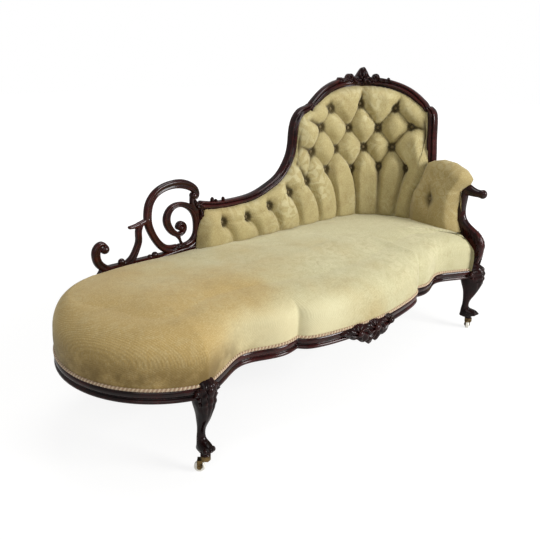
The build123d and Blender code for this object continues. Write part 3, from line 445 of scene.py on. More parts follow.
def damask_group() -> Tree:
    """Leafy damask: rosettes and sprays on a loose lattice, worn away in patches.

    Returns:
        The group.
    """
    tree, g, given, made = group_tree(
        "damask_leaves", {"Place": ("NodeSocketVector", None), "Repeat": ("NodeSocketFloat", 7.0)},
        {"Mask": "NodeSocketFloat"})
    bent = g.add("ShaderNodeTexNoise", {"Vector": given["Place"], "Scale": 26.0, "Detail": 2.0})
    shift = g.add("ShaderNodeVectorMath", {0: bent.outputs["Color"], 1: (0.5, 0.5, 0.5)},
                  operation="SUBTRACT")
    shift = g.add("ShaderNodeVectorMath", {0: shift.outputs[0], "Scale": 0.03}, operation="SCALE")
    where = g.add("ShaderNodeVectorMath", {0: given["Place"], 1: shift.outputs[0]}, operation="ADD")
    cell = g.add(
        "ShaderNodeTexVoronoi",
        {"Vector": where.outputs[0], "Scale": given["Repeat"], "Randomness": 0.35},
        voronoi_dimensions="2D")
    scaled = g.add("ShaderNodeVectorMath", {0: where.outputs[0], "Scale": given["Repeat"]},
                   operation="SCALE")
    centre = g.add("ShaderNodeVectorMath", {0: cell.outputs["Position"], "Scale": given["Repeat"]},
                   operation="SCALE")
    local = g.add("ShaderNodeVectorMath", {0: scaled.outputs[0], 1: centre.outputs[0]},
                  operation="SUBTRACT")
    parts = g.add("ShaderNodeSeparateXYZ", {0: local.outputs[0]})
    angle = g.calc("ARCTAN2", parts.outputs[1], parts.outputs[0])
    reach = cell.outputs["Distance"]
    petals = g.calc("COSINE", g.times(angle, 6.0))
    edge = g.plus(g.times(petals, 0.11), 0.33)
    flower = g.span(g.minus(edge, reach), -0.02, 0.03)
    heart = g.span(g.calc("ABSOLUTE", g.minus(reach, 0.15)), 0.015, 0.045)
    leaf = g.calc("SINE", g.plus(g.times(reach, 30.0), g.times(angle, 3.0)))
    spray = g.times(g.span(leaf, 0.1, 0.5), g.span(reach, 0.36, 0.42))
    whole = g.calc("MAXIMUM", g.times(flower, heart), g.times(spray, 0.8))
    worn = g.span(g.noise(given["Place"], 4.5, 4.0, 0.65), 0.42, 0.62)
    g.feed(g.times(whole, worn), made.inputs["Mask"])
    return tree


def wear_group() -> Tree:
    """Rubbed edges and dark hollows, from the surface's own bend.

    Returns:
        The group.
    """
    tree, g, given, made = group_tree(
        "edge_wear", {"Place": ("NodeSocketVector", None), "Width": ("NodeSocketFloat", 0.05)},
        {"Edge": "NodeSocketFloat", "Hollow": "NodeSocketFloat"})
    bend = g.add("ShaderNodeNewGeometry").outputs["Pointiness"]
    rough = g.times(g.minus(g.noise(given["Place"], 60.0, 3.0), 0.5), 0.02)
    value = g.plus(bend, rough)
    high = g.plus(0.5, given["Width"])
    low = g.minus(0.5, given["Width"])
    g.feed(
        g.add("ShaderNodeMapRange", {0: value, 1: 0.51, 2: high}).outputs[0], made.inputs["Edge"])
    g.feed(
        g.add("ShaderNodeMapRange", {0: value, 1: 0.49, 2: low}).outputs[0], made.inputs["Hollow"])
    return tree


def grain_group() -> Tree:
    """Close hardwood grain with pores, stretched along one axis.

    Returns:
        The group.
    """
    tree, g, given, made = group_tree(
        "wood_grain",
        {"Place": ("NodeSocketVector", None), "Stretch": ("NodeSocketVector", (1, 8, 8))},
        {"Figure": "NodeSocketFloat", "Pores": "NodeSocketFloat"})
    where = g.add(
        "ShaderNodeMapping", {"Vector": given["Place"], "Scale": given["Stretch"]}).outputs[0]
    wavy = g.noise(where, 7.0, 5.0, 0.6)
    fine = g.noise(where, 55.0, 3.0, 0.6)
    g.feed(g.plus(g.times(wavy, 0.7), g.times(fine, 0.3)), made.inputs["Figure"])
    g.feed(g.span(fine, 0.3, 0.42), made.inputs["Pores"])
    return tree


class Effects:
    """Builds each shared effect once."""

    def __init__(self) -> None:
        """Nothing is built yet."""
        self.trees: dict[str, Tree] = {}

    def get(self, build: Callable[[], Tree]) -> Tree:
        """The group that build makes, made at its first use.

        Args:
            build: Function that makes the group.

        Returns:
            The group.
        """
        if build.__name__ not in self.trees:
            self.trees[build.__name__] = build()
        return self.trees[build.__name__]


EFFECTS = Effects()


def shade(graph: Graph, inputs: dict, bump: object = None, strength: float = 0.3,
          distance: float = 0.001) -> None:
    """Principled surface with an optional bump, joined to the output.

    Args:
        graph: Graph of the material.
        inputs: The surface's inputs.
        bump: Height of the bump, if any.
        strength: How strongly it shows.
        distance: Its depth.
    """
    surface = graph.add("ShaderNodeBsdfPrincipled", inputs)
    if bump is not None:
        rise = graph.add(
            "ShaderNodeBump", {"Height": bump, "Strength": strength, "Distance": distance})
        graph.feed(rise.outputs[0], surface.inputs["Normal"])
    graph.add("ShaderNodeOutputMaterial", {"Surface": surface.outputs[0]})


# ---- finishes
@dataclass(frozen=True)
class Finish:
    """A named finish; each kind lays its own surface."""

    name: str

    def surface(self, g: Graph, where: Socket) -> None:
        """Lay the surface's nodes.

        Args:
            g: Graph of the new material.
            where: Place on the object.
        """
        raise NotImplementedError

    def material(self) -> Material:
        """The finish as a material.

        Returns:
            The new material.
        """
        made = bpy.data.materials.new(self.name)
        made.use_nodes = True
        graph = Graph(made.node_tree)
        self.surface(graph, graph.add("ShaderNodeTexCoord").outputs["Object"])
        return made


@dataclass(frozen=True)
class PolishedWood(Finish):
    """Old french-polished mahogany."""

    dark: Triple = (0.0035, 0.0012, 0.0013)
    warm: Triple = (0.046, 0.0045, 0.0036)
    rubbed: Triple = (0.05, 0.012, 0.009)
    roughness: float = 0.16
    coat: float = 0.09
    gloss: float = 0.25
    stretch: Triple = (1.5, 8.0, 8.0)
    wear: float = 0.25

    def surface(self, g: Graph, where: Socket) -> None:
        """Lay the surface's nodes."""
        grain = g.group(EFFECTS.get(grain_group), Place=where, Stretch=self.stretch)
        wear = g.group(EFFECTS.get(wear_group), Place=where, Width=0.06)
        patch = g.noise(where, 5.0, 3.0)
        tone = g.plus(g.times(grain.outputs["Figure"], 0.7), g.times(patch, 0.5))
        colour = g.mix(g.span(tone, 0.46, 0.8), self.dark, self.warm)
        colour = g.mix(g.times(wear.outputs["Edge"], self.wear), colour, self.rubbed)
        # Painted shade: hollows of the mouldings and carving are darkened nearly to black.
        colour = g.mix(g.times(wear.outputs["Hollow"], 0.9), colour, (0.004, 0.002, 0.002))
        dull = g.plus(g.times(g.noise(where, 30.0, 4.0), 0.2), self.roughness - 0.08)
        shade(g, {"Base Color": colour, "Roughness": dull, "Coat Weight": self.coat,
                  "Coat Roughness": 0.1, "Specular IOR Level": self.gloss},
              grain.outputs["Figure"], 0.05, 0.0004)


@dataclass(frozen=True)
class DamaskCloth(Finish):
    """Old gold-green cloth with a fine diagonal rib and a faint leaf pattern."""

    cool: Triple = (0.485, 0.465, 0.285)
    gold: Triple = (0.415, 0.285, 0.098)
    deep: Triple = (0.2, 0.135, 0.045)
    pale: Triple = (0.66, 0.62, 0.4)
    pattern: float = 0.26
    mottle: float = 0.24
    soil: float = 1.0
    # share of painted shade laid in the folds and button pits
    folds: float = 0.0
    rib: float = 0.27
    # strength of the painted highlight on the front wall
    bloom: float = 0.0

    def surface(self, g: Graph, where: Socket) -> None:
        """Lay the surface's nodes."""
        flat = g.add("ShaderNodeAttribute", attribute_name="cloth").outputs["Vector"]
        parts = g.add("ShaderNodeSeparateXYZ", {0: where})
        rib = g.group(EFFECTS.get(rib_group), Place=flat, Pitch=0.0058)
        leaves = g.group(EFFECTS.get(damask_group), Place=flat, Repeat=7.5).outputs["Mask"]
        drift = g.noise(where, 2.6, 4.0, 0.6)
        along = g.plus(g.times(parts.outputs[0], -0.75), g.times(drift, 1.5))
        colour = g.mix(g.span(along, 0.45, 1.3), self.cool, self.gold)
        mottle = g.noise(where, 16.0, 5.0, 0.65)
        grit = g.noise(where, 210.0, 4.0, 0.8)
        colour = g.mix(g.span(mottle, 0.45, 0.75, (0.0, self.mottle)), colour, self.deep)
        colour = g.mix(g.span(grit, 0.44, 0.66, (0.0, 0.34)), colour, self.deep)
        colour = g.mix(g.span(grit, 0.5, 0.34, (0.0, 0.22)), colour, self.pale)
        shown = g.span(parts.outputs[0], -0.35, 0.15, (0.35 * self.pattern, self.pattern))
        colour = g.mix(g.times(leaves, shown), colour, self.pale)
        colour = g.mix(g.span(rib.outputs["Height"], 0.2, 0.8, (self.rib, 0.0)), colour, self.deep)
        colour = g.mix(g.times(rib.outputs["Fleck"], 0.1), colour, self.pale)
        # Painted highlight: a pale band low on the seat cover's walls, from the foot sweep to the
        # middle of the bow.
        shift = g.plus(parts.outputs[0], g.times(drift, 0.24))
        wall_highlight_mask = g.times(g.span(parts.outputs[2], 0.43, 0.365),
                      g.times(g.span(shift, -0.52, -0.2), g.span(shift, 0.2, -0.06)))
        colour = g.mix(g.times(wall_highlight_mask, self.bloom), colour, self.pale)
        low = g.span(parts.outputs[2], 0.4, 0.31)
        foot = g.span(parts.outputs[0], -0.25, -0.62)
        soiled = g.times(g.times(low, foot), g.span(g.noise(where, 7.0, 5.0, 0.7), 0.28, 0.6))
        colour = g.mix(g.times(soiled, 0.8 * self.soil), colour, (0.12, 0.075, 0.02))
        # Painted shade: the depth stored in the cloth attribute darkens the folds and button pits.
        if self.folds > 0:
            painted_shade_depth = g.add("ShaderNodeSeparateXYZ", {0: flat}).outputs[2]
            sunk = g.span(painted_shade_depth, 0.0495, 0.034, (0.0, self.folds))
            colour = g.mix(sunk, colour, (0.055, 0.038, 0.012))
        height = g.plus(g.times(rib.outputs["Height"], 0.7), g.times(grit, 0.8))
        shade(
            g, {
                "Base Color": colour, "Roughness": 0.88, "Sheen Weight": 0.35,
                "Sheen Roughness": 0.4, "Sheen Tint": (0.95, 0.9, 0.7, 1.0),
                "Specular IOR Level": 0.2}, height, 0.4, 0.0012)


@dataclass(frozen=True)
class Thread(Finish):
    """Twisted silk or jute, with fine plies."""

    light: Triple
    dark: Triple
    scale: float = 700.0

    def surface(self, g: Graph, where: Socket) -> None:
        """Lay the surface's nodes."""
        plies = g.noise(where, self.scale, 3.0, 0.7)
        soil = g.noise(where, 14.0, 4.0)
        colour = g.mix(g.span(plies, 0.35, 0.65), self.dark, self.light)
        colour = g.mix(g.span(soil, 0.5, 0.75, (0.0, 0.35)), colour, self.dark)
        shade(g, {"Base Color": colour, "Roughness": 0.8, "Sheen Weight": 0.3}, plies, 0.5, 0.0006)


@dataclass(frozen=True)
class AgedMetal(Finish):
    """Brass or steel that has gone dull and dark in its hollows."""

    bright: Triple
    dull: Triple
    roughness: float = 0.34

    def surface(self, g: Graph, where: Socket) -> None:
        """Lay the surface's nodes."""
        stain = g.noise(where, 60.0, 5.0, 0.65)
        wear = g.group(EFFECTS.get(wear_group), Place=where, Width=0.08)
        share = g.calc("MAXIMUM", g.span(stain, 0.4, 0.65), wear.outputs["Hollow"])
        colour = g.mix(share, self.bright, self.dull)
        shade(g, {"Base Color": colour, "Metallic": 0.9,
                  "Roughness": g.span(stain, 0.3, 0.7, (self.roughness, self.roughness + 0.25))},
              stain, 0.15, 0.0004)


@dataclass(frozen=True)
class Ceramic(Finish):
    """Glazed white ware with crazing and grime."""

    def surface(self, g: Graph, where: Socket) -> None:
        """Lay the surface's nodes."""
        craze = g.add(
            "ShaderNodeTexVoronoi", {"Vector": where, "Scale": 260.0}, feature="DISTANCE_TO_EDGE")
        lines = g.span(craze.outputs["Distance"], 0.05, 0.0, (0.0, 0.45))
        grime = g.span(g.noise(where, 90.0, 4.0), 0.5, 0.75, (0.0, 0.4))
        colour = g.mix(g.calc("MAXIMUM", lines, grime), (0.86, 0.84, 0.77), (0.42, 0.36, 0.25))
        shade(g, {"Base Color": colour, "Roughness": g.span(grime, 0.0, 0.4, (0.12, 0.4)),
                  "Coat Weight": 0.4, "Coat Roughness": 0.08}, grime, 0.1, 0.0003)


@dataclass(frozen=True)
class OpenWeave(Finish):
    """Plain open weave: hessian, webbing or lining."""

    light: Triple
    dark: Triple
    pitch: float = 0.0022

    def surface(self, g: Graph, where: Socket) -> None:
        """Lay the surface's nodes."""
        rib = g.group(EFFECTS.get(rib_group), Place=where, Pitch=self.pitch)
        soil = g.noise(where, 9.0, 5.0, 0.65)
        colour = g.mix(g.span(rib.outputs["Height"], 0.3, 0.75), self.dark, self.light)
        colour = g.mix(g.span(soil, 0.45, 0.75, (0.0, 0.45)), colour, self.dark)
        shade(g, {"Base Color": colour, "Roughness": 0.92}, rib.outputs["Height"], 0.5, 0.0008)


@dataclass
class Palette:
    """Every finish of the couch."""

    show: Material
    carved: Material
    raw: Material
    cloth: Material
    back_cloth: Material
    arm_cloth: Material
    button_cloth: Material
    braid_light: Material
    braid_dark: Material
    brass: Material
    steel: Material
    ceramic: Material
    hessian: Material
    hair: Material
    jute: Material
    dust: Material

    @classmethod
    def build(cls) -> "Palette":
        """Make all materials.

        Returns:
            Every material.
        """
        # Back and arm cloth: no soil, more mottle, a weaker rib, and painted shade in the folds and
        # button pits.
        worn = {"soil": 0.0, "mottle": 0.42, "folds": 0.94, "rib": 0.16}
        finishes = {
            "show": PolishedWood("polished_mahogany"),
            "carved": PolishedWood(
                "carved_mahogany", warm=(0.02, 0.003, 0.0026), roughness=0.19, coat=0.06,
                gloss=0.15, stretch=(4, 4, 4), wear=0.4),
            "raw": PolishedWood(
                "raw_beech", (0.28, 0.18, 0.09), (0.42, 0.29, 0.15), (0.5, 0.36, 0.2), 0.7, 0.0),
            "cloth": DamaskCloth("gold_damask", bloom=0.56),
            # The back's cloth: a darker, browner copy of the seat's; partly a deeper colour and
            # partly painted shade.
            "back_cloth": DamaskCloth(
                "gold_damask_back", (0.4, 0.335, 0.155), (0.36, 0.26, 0.1), pattern=0.36, **worn),
            # The arm's cloth: a darker, even copy of the seat's, painted shade on its inner face.
            "arm_cloth": DamaskCloth(
                "gold_damask_arm_painted_shade", (0.32, 0.245, 0.1), (0.32, 0.245, 0.1), pattern=0.16, **worn),
            # Covered buttons: their cloth is painted near black as the shade of their deep pits.
            "button_cloth": DamaskCloth(
                "gold_damask_button_painted_shade", (0.075, 0.05, 0.019), (0.075, 0.05, 0.019), soil=0.0,
                pattern=0.0),
            "braid_light": Thread("cream_silk", (0.7, 0.6, 0.42), (0.4, 0.29, 0.17)),
            "braid_dark": Thread("tan_silk", (0.44, 0.29, 0.18), (0.22, 0.12, 0.07)),
            "brass": AgedMetal("aged_brass", (0.22, 0.145, 0.058), (0.035, 0.024, 0.014)),
            "steel": AgedMetal("spring_wire", (0.45, 0.36, 0.28), (0.16, 0.12, 0.1)),
            "ceramic": Ceramic("white_ceramic"),
            "hessian": OpenWeave("hessian", (0.5, 0.38, 0.2), (0.25, 0.17, 0.08), 0.003),
            "hair": Thread("curled_hair", (0.1, 0.07, 0.05), (0.03, 0.02, 0.015), 300.0),
            "jute": OpenWeave("jute_web", (0.45, 0.33, 0.17), (0.22, 0.15, 0.07), 0.004),
            "dust": OpenWeave(
                "black_dust_cloth", (0.045, 0.042, 0.04), (0.015, 0.014, 0.013), 0.0018),
        }
        return cls(**{name: finish.material() for name, finish in finishes.items()})


class Slot(Enum):
    """The record's material slots, with the palette finish each takes."""

    show_wood = "show"
    carved_wood = "carved"
    frame_wood = "raw"
    damask = "cloth"
    braid = "braid_light"
    horsehair = "hair"
    hessian = "hessian"
    jute_web = "jute"
    spring_steel = "steel"
    castor_brass = "brass"
    ceramic = "ceramic"


@dataclass
class SubAssembly:
    """Part of the couch that is dressed with the palette's finishes."""

    palette: Palette

    def piece(self, name: str, grids: Sequence[Array], slot: str, *nodes: str,
              finish: str | None = None, **shape: object) -> Object:
        """A dressed mesh that stands for CAD nodes, where any are named.

        Args:
            name: Object name.
            grids: Its grids of points.
            slot: Material slot of the record.
            nodes: CAD nodes that it replaces.
            finish: Its finish in the palette, where the slot's own isn't meant.
            shape: More choices of mesh_object.

        Returns:
            The object.
        """
        material = getattr(self.palette, finish or Slot[slot].value)
        made = mesh_object(name, grids, material, **shape)
        if nodes:
            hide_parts(*nodes)
        return made


# ---- shaped bars and leaves
MOULDED = (
    (0.0, 0.25), (0.0, 0.62), (0.03, 0.8), (0.09, 0.9), (0.16, 0.9), (0.22, 0.8), (0.26, 0.7),
    (0.31, 0.72), (0.38, 0.9), (0.48, 1.0), (0.6, 1.0), (0.7, 0.9), (0.76, 0.72), (0.8, 0.7),
    (0.85, 0.78), (0.91, 0.8), (0.97, 0.7), (1.0, 0.52), (1.0, 0.22), (0.95, 0.05), (0.8, 0.0),
    (0.2, 0.0), (0.05, 0.05))
ROUNDED = tuple((0.5 - 0.5 * math.copysign(abs(math.cos(a)) ** 0.8, math.cos(a)),
                 0.5 + 0.5 * math.copysign(abs(math.sin(a)) ** 0.8, math.sin(a)))
                for a in (math.tau * k / 20 for k in range(20)))
SCROLLED = (
    (0.0, 0.3), (0.0, 0.6), (0.04, 0.78), (0.12, 0.92), (0.22, 0.99), (0.34, 1.0), (0.44, 0.93),
    (0.52, 0.86), (0.62, 0.85), (0.7, 0.9), (0.78, 0.95), (0.87, 0.93), (0.95, 0.8), (1.0, 0.6),
    (1.0, 0.3), (0.93, 0.1), (0.75, 0.0), (0.25, 0.0), (0.07, 0.1))


@dataclass(frozen=True)
class Bar:
    """Shaped bar along a smooth line in a face of the couch.

    Attributes:
        line: Points as two coordinates in the face and the bar's width.
        rear: Depth of its rear face.
        front: Depth of its front face.
        section: Shares across and through, all round.
        place: Where a face point lies in the room.
        tips: Rounding of the first and last end, as a share of the width.
        samples: Stations along it.
    """

    line: tuple[Triple, ...]
    rear: float
    front: float
    section: tuple[Pair, ...] = MOULDED
    place: Place = PLAN.place
    tips: Pair = (0.0, 0.0)
    samples: int = 60

    def grid(self) -> Array:
        """The bar's points: stations, section points, coordinates.

        Returns:
            Stations, section points and coordinates.
        """
        rows = spline(self.line, self.samples)
        centre, width = rows[:, :2], rows[:, 2]
        along = unit(np.gradient(centre, axis=0))
        side = np.stack([along[:, 1], -along[:, 0]], -1)
        scale = np.ones(len(centre))
        for end, sign, tip in ((0, -1, self.tips[0]), (-1, 1, self.tips[1])):
            if tip <= 0:
                continue
            turn = np.linspace(0.25, 1.5, 6)
            reach = width[end] * tip
            extra = centre[end] + sign * along[end] * (np.sin(turn) * reach)[:, None]
            cap = np.maximum(np.cos(turn), 0.03)
            pieces = (extra, np.full(6, width[end]), np.tile(side[end], (6, 1)), cap)
            if sign < 0:
                pieces = tuple(p[::-1] for p in pieces)
                order = [(new, old) for new, old in zip(pieces, (centre, width, side, scale))]
            else:
                order = [(old, new) for new, old in zip(pieces, (centre, width, side, scale))]
            centre, width, side, scale = (np.concatenate(pair) for pair in order)
        across = np.array([p[0] for p in self.section]) - 0.5
        through = np.array([p[1] for p in self.section])
        middle, half = (self.rear + self.front) / 2, (self.front - self.rear)
        shift = across[None, :] * (width * scale)[:, None]
        a = centre[:, :1] + side[:, :1] * shift
        b = centre[:, 1:] + side[:, 1:] * shift
        depth = middle + half * (through[None, :] - 0.5) * scale[:, None]
        return self.place(a, b, depth)


def side_place(x: float) -> Place:
    """Place of face points drawn in Y and Z, with depth measured from x towards the foot end."""
    return lambda y, z, depth: np.stack(np.broadcast_arrays(x - depth, y, z), -1)


def leaf(
        path: Sequence[Sequence[float]], normal: Sequence[float], width: float, *,
        lobes: float = 3.0, relief: float = 0.006, notch: float = 0.4, thick: float = 0.004,
        samples: int = 36) -> Array:
    """Carved leaf along a path, closed underneath.

    Args:
        path: Points of its midrib.
        normal: Direction its face looks.
        width: Full width.
        lobes: Lobes on each side.
        relief: Height of its flutes and belly.
        notch: Depth of the notches between lobes, as a share.
        thick: Thickness underneath.
        samples: Stations along it.

    Returns:
        Grid with closed rows.
    """
    rib = spline(path, samples, 3)
    along = unit(np.gradient(rib, axis=0))
    up = unit(np.asarray(normal, float) - (along @ np.asarray(normal, float))[:, None] * along)
    side = np.cross(along, up)
    u = np.linspace(0, 1, samples)[:, None]
    v = np.linspace(-1, 1, 15)[None, :]
    envelope = np.sin(np.pi * (0.04 + 0.95 * u**0.85)) ** 0.75
    teeth = np.mod(lobes * u, 1.0)
    half = width / 2 * envelope * (1 - notch * teeth**1.6)
    lean = 0.1 * np.abs(v) * (1 - u)
    flutes = np.cos(math.tau * (lobes * u - 0.8 * np.abs(v)))
    height = relief * ((1 - v * v) * 0.7 + 0.45 * flutes * envelope * np.abs(v) ** 0.5
                       - 0.5 * np.exp(-(v / 0.1) ** 2))
    stations = np.clip(u + lean, 0, 1) * (samples - 1)
    base = np.stack([np.interp(stations, np.arange(samples), rib[:, k]) for k in range(3)], -1)
    top = base + side[:, None, :] * (half * v)[..., None] + up[:, None, :] * height[..., None]
    under = base + side[:, None, :] * (half * v)[..., None] * 0.92 \
        + up[:, None, :] * (height * 0.25 - thick)[..., None]
    return np.concatenate([top, under[:, ::-1]], 1)


def dome(centre: Sequence[float], normal: Sequence[float], along: Sequence[float],
         size: Triple, count: int = 28) -> Array:
    """Oval cabochon or ball.

    Args:
        centre: Its middle.
        normal: Direction of its height.
        along: Direction of its length.
        size: Half length, half width and height.
        count: Points round it.

    Returns:
        Grid with closed rows.
    """
    up = unit(np.asarray(normal, float))
    run = np.asarray(along, float)
    run = unit(run - (run @ up) * up)
    side = np.cross(up, run)
    tilt = np.linspace(-0.49 * math.pi, 0.49 * math.pi, 15)[:, None]
    turn = np.linspace(0, math.tau, count, endpoint=False)[None, :]
    a, b = size[0] * np.cos(tilt) * np.cos(turn), size[1] * np.cos(tilt) * np.sin(turn)
    c = size[2] * np.sin(tilt) * np.ones_like(turn)
    return np.asarray(centre, float) + a[..., None] * run + b[..., None] * side + c[..., None] * up


def front_place(face: Callable[[Array], Array]) -> Place:
    """Place of points drawn in X and Z on a curved front, with depth measured out of it."""
    return lambda x, z, out: np.stack(np.broadcast_arrays(x, face(x) - out, z), -1)


@dataclass(frozen=True)
class Relief:
    """Carving that swells out of the wood behind it, between a lower and an upper edge.

    Attributes:
        low: Lower edge as places along and heights.
        top: Upper edge in the same way.
        lobes: Lobes that stand above the upper edge: middle, half width, rise and sharpness.
        drops: Lobes that hang below the lower edge.
        hubs: Middles that the flutes fan out from.
        base: Depth of the face the carving stands on.
        swell: How far it stands out of that face.
        thick: How far it reaches into the wood.
        petals: Flutes round a hub.
        place: Where a face point lies in the room.
    """

    low: tuple[Pair, ...]
    top: tuple[Pair, ...]
    lobes: tuple[Four, ...]
    drops: tuple[Four, ...]
    hubs: tuple[Pair, ...]
    base: float
    swell: float
    thick: float
    petals: float = 9.0
    place: Place = PLAN.place

    @staticmethod
    def rise(along: Array, lobes: Sequence[Four]) -> Array:
        """Height of the lobes over the edge.

        Args:
            along: Places along the edge.
            lobes: Place, reach, rise and lean of each lobe.

        Returns:
            Heights at those places.
        """
        most = np.zeros_like(along)
        for middle, half, high, sharp in lobes:
            inside = np.maximum(1 - ((along - middle) / half) ** 2, 0)
            most = np.maximum(most, high * inside ** sharp)
        return most

    def grid(self, count: int = 170, across: int = 34) -> Array:
        """The carving's points.

        Args:
            count: Points along.
            across: Points across.

        Returns:
            Rows, points and coordinates.
        """
        low, top = np.array(self.low), np.array(self.top)
        along = np.linspace(low[0, 0], low[-1, 0], count)
        under = np.interp(along, low[:, 0], low[:, 1]) - self.rise(along, self.drops)
        over = np.interp(along, top[:, 0], top[:, 1]) + self.rise(along, self.lobes)
        over = np.maximum(over, under + 0.002)
        t = np.linspace(0, 1, across)[None, :]
        z = under[:, None] + (over - under)[:, None] * t
        a = np.broadcast_to(along[:, None], z.shape)
        flute = np.zeros_like(z)
        nearest = np.full_like(z, 1.0)
        for hub_a, hub_z in self.hubs:
            reach = np.hypot(a - hub_a, z - hub_z)
            turn = np.arctan2(z - hub_z, a - hub_a)
            fan = 0.5 + 0.5 * np.cos(self.petals * turn + 110 * reach)
            fan = fan ** 0.6 * ease(reach, 0.004, 0.012)
            flute = np.where(reach < nearest, fan, flute)
            nearest = np.minimum(nearest, reach)
        ends = np.sin(math.pi * np.linspace(0.02, 0.98, count)) ** 0.3
        belly = np.sin(math.pi * np.clip(t, 0.02, 0.98)) ** 0.55
        out = self.base + self.swell * belly * ends[:, None] * (0.55 + 0.45 * flute)
        out = out - 0.002 * (belly < 0.3)
        front = self.place(a, z, out)
        inner = z.mean(1, keepdims=True) + (z - z.mean(1, keepdims=True)) * 0.92
        rear = self.place(a, inner, np.full_like(z, self.base - self.thick))
        return np.concatenate([front, rear[:, ::-1]], 1)


# ---- seat
@dataclass
class Seat(SubAssembly):
    """Seat cover and its rope braid.

    Attributes:
        spine: Its two ends and its place across, which the rows shrink towards.
        scroll_reach: How far back the cover goes behind the open scroll.
        arm_line: Distance to the front and place of the arm's inner face.
    """

    wall_low: float = 0.281
    wall_high: float = 0.352
    shoulder: float = 0.431
    crown: float = 0.447
    front_round: float = 0.15
    rear_round: float = 0.05
    bulge: float = 0.004
    spine: Triple = (-0.6, 0.6, 0.02)
    pad_depth: float = 0.058
    scroll_reach: float = 0.322
    arm_gap: float = 0.004
    arm_line: tuple[Pair, ...] = mm(
        (12, 814), (60, 795), (110, 784), (160, 777), (196, 780), (232, 785), (300, 780))

    def limit(self, points: Array) -> Array:
        """Points kept in front of the back pad and beside the arm.

        Args:
            points: Places in plan.

        Returns:
            The places, moved where the pads stand.
        """
        x, y = points[..., 0], points[..., 1]
        rear = PLAN.rear - self.pad_depth
        held = self.scroll_reach + (rear - self.scroll_reach) * ease(x, -0.225, -0.19)
        y = np.where(x < PLAN.corner, np.minimum(y, held), y)
        cx, cy = PLAN.corner, PLAN.rear - PLAN.radius
        far = np.hypot(x - cx, y - cy)
        most = PLAN.radius - self.pad_depth
        share = np.where((x > cx) & (y > cy) & (far > most), most / np.maximum(far, 1e-9), 1.0)
        x, y = cx + (x - cx) * share, cy + (y - cy) * share
        arm = np.interp(-y, *np.transpose(self.arm_line))
        head = np.where(y > 0.0, PLAN.head - self.pad_depth, arm + self.arm_gap)
        x = np.where(y < cy, np.minimum(x, head), x)
        return np.stack([x, y], -1)

    def cover(self) -> Object:
        """Crowned cover with a rounded edge and a soft crease along the front.

        Returns:
            The cover.
        """
        edge, normal = SEAT.outline(0.004, 820)
        low, high, level = self.spine
        weight = np.hanning(91)
        ends = np.concatenate([edge[-45:], edge, edge[:45]])
        soft = np.stack(
            [np.convolve(ends[:, k], weight / weight.sum(), "valid") for k in (0, 1)], -1)
        notched = ease(-edge[:, 1], 0.12, 0.2) * ease(edge[:, 0], -0.62, -0.5)
        calm = edge + (soft - edge) * notched[:, None]
        core = np.stack([np.clip(calm[:, 0], low, high), np.full(len(edge), level)], -1)
        inward = core - calm
        reach = np.linalg.norm(inward, axis=1)
        rearness = np.maximum(ease(normal[:, 1], 0.0, 0.7), ease(normal[:, 0], 0.3, 0.9))
        radius = self.front_round + (self.rear_round - self.front_round) * rearness
        rows, flats = [], []
        for z in np.linspace(self.wall_low, self.wall_high, 14):
            share = (z - self.wall_low) / (self.wall_high - self.wall_low)
            out = self.bulge * math.sin(math.pi * min(share * 0.75, 1.0)) - 0.002 * (share < 0.01)
            rows.append((edge + normal * out, np.full(len(edge), z)))
            flats.append(edge + normal * (self.wall_high - z))
        for turn in np.linspace(0.0, math.pi / 2, 22)[1:]:
            step = radius * (1 - math.cos(turn) ** 0.9)
            z = self.wall_high + (self.shoulder - self.wall_high) * math.sin(turn) ** 0.85
            out = self.bulge * 0.7 * math.cos(turn)
            share = (step / reach)[:, None]
            base = edge + (calm - edge) * float(ease(np.array(turn), 0.0, 1.2))
            rows.append((base + normal * out + inward * share, np.full(len(edge), z)))
            flats.append(base + inward * share)
        start = radius / reach
        for k in np.linspace(0, 1, 34)[1:]:
            share = start + (0.985 - start) * k
            z = self.shoulder + (self.crown - self.shoulder) * (1 - (1 - k) ** 2)
            rows.append((calm + inward * share[:, None], np.full(len(edge), z)))
            flats.append(rows[-1][0])
        grid = np.stack([np.concatenate([self.limit(p), z[:, None]], 1) for p, z in rows])
        grid[..., 2] += self.unevenness(grid)
        flat = np.stack([np.concatenate([f, np.zeros((len(f), 1))], 1) for f in flats])
        made = self.piece(
            "seat_cover_cloth", [grid], "damask", "seat_cover", "seat_stuffing",
            cloth=[flat])
        return made

    def unevenness(self, grid: Array) -> Array:
        """Small lifts and hollows of old stuffing, and the ridge behind the front edge.

        Args:
            grid: Points of the cover.

        Returns:
            How far each point lifts.
        """
        x, y, z = grid[..., 0], grid[..., 1], grid[..., 2]
        top = ease(z, 0.4, 0.44)
        soft = 0.0018 * np.sin(7 * x + 3 * y) + 0.0014 * np.sin(13 * y - 5 * x + 1) \
            + 0.001 * np.sin(23 * x + 11 * y + 2)
        front = -0.15 + 0.025 * np.sin(4.3 * x + 0.4)
        ridge = 0.001 * np.exp(-((y - front) / 0.016) ** 2) * ease(-x, -0.35, 0.25)
        rear = 0.009 * ease(y, 0.1, 0.28) * ease(x, -0.66, -0.5) * ease(-x, -0.08, 0.12)
        seam = y + 0.235 - 0.02 * np.sin(5 * x)
        sag = -0.002 * np.exp(-(seam / 0.012) ** 2) * ease(z, 0.36, 0.4)
        return (soft + ridge + rear) * top + sag * ease(-x, -0.3, 0.3)

